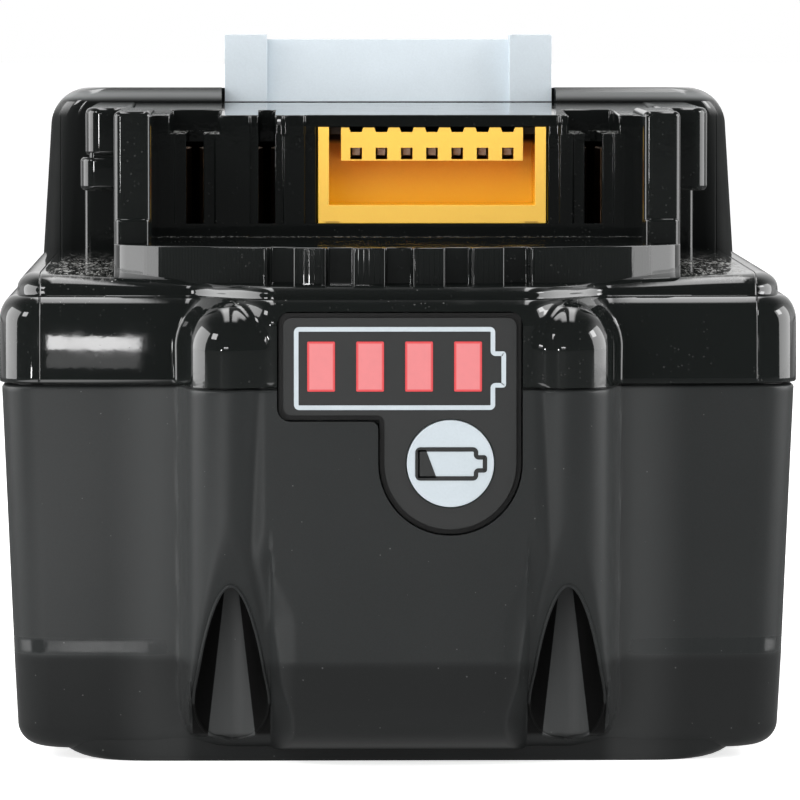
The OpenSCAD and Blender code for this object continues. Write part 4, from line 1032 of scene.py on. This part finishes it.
floor_mesh = bpy.data.meshes.new("table")
floor_mesh.from_pydata([(-4, -3, 0), (4, -3, 0), (4, 6, 0), (-4, 6, 0)], [], [(0, 1, 2, 3)])
floor_mesh.materials.append(finish("table_white", table_top, Emission_Strength=0.78))
floor = bpy.data.objects.new("table", floor_mesh)
scene.collection.objects.link(floor)
print("table laid at height", floor.location.z)

# %% [markdown]
# ## The sky that plastic mirrors
#
# Behind the pack the camera sees pure white. Mirrored, the sky is bright behind the pack and dark in front of it and
# overhead, with two bright strips above and a bright flank on each side. This contrast makes black plastic look
# polished and gives it light top faces.

# %% Sky
world = bpy.data.worlds.new("studio")
scene.world = world
world.use_nodes = True
tree = world.node_tree
sky = tree.nodes["Background"]
sky.inputs["Color"].default_value = (1, 1, 1, 1)
way = Wire(tree, tree.nodes.new("ShaderNodeTexCoord").outputs["Generated"])
across, depth, height = way.parts()
aside = abs(across)
back = depth.between(-0.1, 0.45) * (0.15 + 0.85 * height.between(-0.02, 0.07)) * (1 - 0.85 * height.between(0.5, 0.85))
strips = 6 * aside.between(0.03, 0.065) * (1 - aside.between(0.16, 0.26))
strips = strips * depth.between(-0.3, -0.1) * height.between(0.6, 0.9)
flanks = aside.between(0.6, 0.9) * depth.between(-0.5, -0.1)
mirrored_sky = 0.02 + 0.9 * back + strips.larger(flanks)
seen, mirror = (way.node("LightPath", out=name) for name in ("Is Camera Ray", "Is Glossy Ray"))
way.feed(sky.inputs["Strength"], seen.larger(mirror * mirrored_sky + (1 - mirror) * 0.35))
print("sky of", len(tree.nodes), "nodes")

# %% [markdown]
# ## Soft boxes
#
# Two walls of light stand left and right. Two boxes higher up make the square highlights on the column domes, and a low
# card in front draws the bright bar on the left of the upper case. Fill and top light only brighten, so mirrors don't
# see them.

# %% Soft boxes
def softbox(name, place, size, radiance, target=(0, -0.03, 0.04), shines=True):
    """A rectangular light aimed at the target, in metres. Its power is pi times area times radiance."""
    data = bpy.data.lights.new(name, "AREA")
    data.shape, (data.size, data.size_y) = "RECTANGLE", size
    data.energy = math.pi * size[0] * size[1] * radiance
    obj = bpy.data.objects.new(name, data)
    obj.location = place
    obj.visible_glossy = shines
    aim = np.array(target) - np.array(place)
    obj.rotation_euler = (math.atan2(math.hypot(aim[0], aim[1]), -aim[2]), 0, math.atan2(aim[1], aim[0]) - math.pi / 2)
    scene.collection.objects.link(obj)


softbox("left wall", (-0.60, -0.05, 0.21), (0.5, 0.5), 5.2)
softbox("right wall", (0.60, -0.05, 0.21), (0.5, 0.5), 4.5)
softbox("left box", (-0.68, -0.66, 0.60), (0.25, 0.25), 11)
softbox("right box", (0.92, -0.23, 0.60), (0.25, 0.25), 9)
softbox("front card", (-0.19, -0.93, 0.1385), (0.16, 0.036), 16)
softbox("card foot", (-0.19, -0.93, 0.095), (0.16, 0.05), 1.3)
softbox("spark", (-0.33, -0.78, 0.05), (0.03, 0.03), 60)
softbox("fill", (-0.25, -1.20, 0.55), (0.8, 0.8), 2.3, shines=False)
softbox("top", (0.0, -0.15, 1.00), (0.9, 0.6), 2.4, shines=False)
print(len(bpy.data.lights), "lights")

# %% [markdown]
# ## Camera
#
# A long lens, three quarters of a metre away and a little above the middle, keeps upright edges nearly parallel.

# %% Camera
view = bpy.data.cameras.new("camera")
view.sensor_width, view.lens, view.clip_end = 36, 326.567, 20
camera = bpy.data.objects.new("camera", view)
camera.location = (-0.010434, -0.737442, 0.074034)
camera.rotation_euler = (math.radians(90 - 3.2802), 0, math.radians(-0.8794))
scene.collection.objects.link(camera)
scene.camera = camera
print("camera", tuple(camera.location))
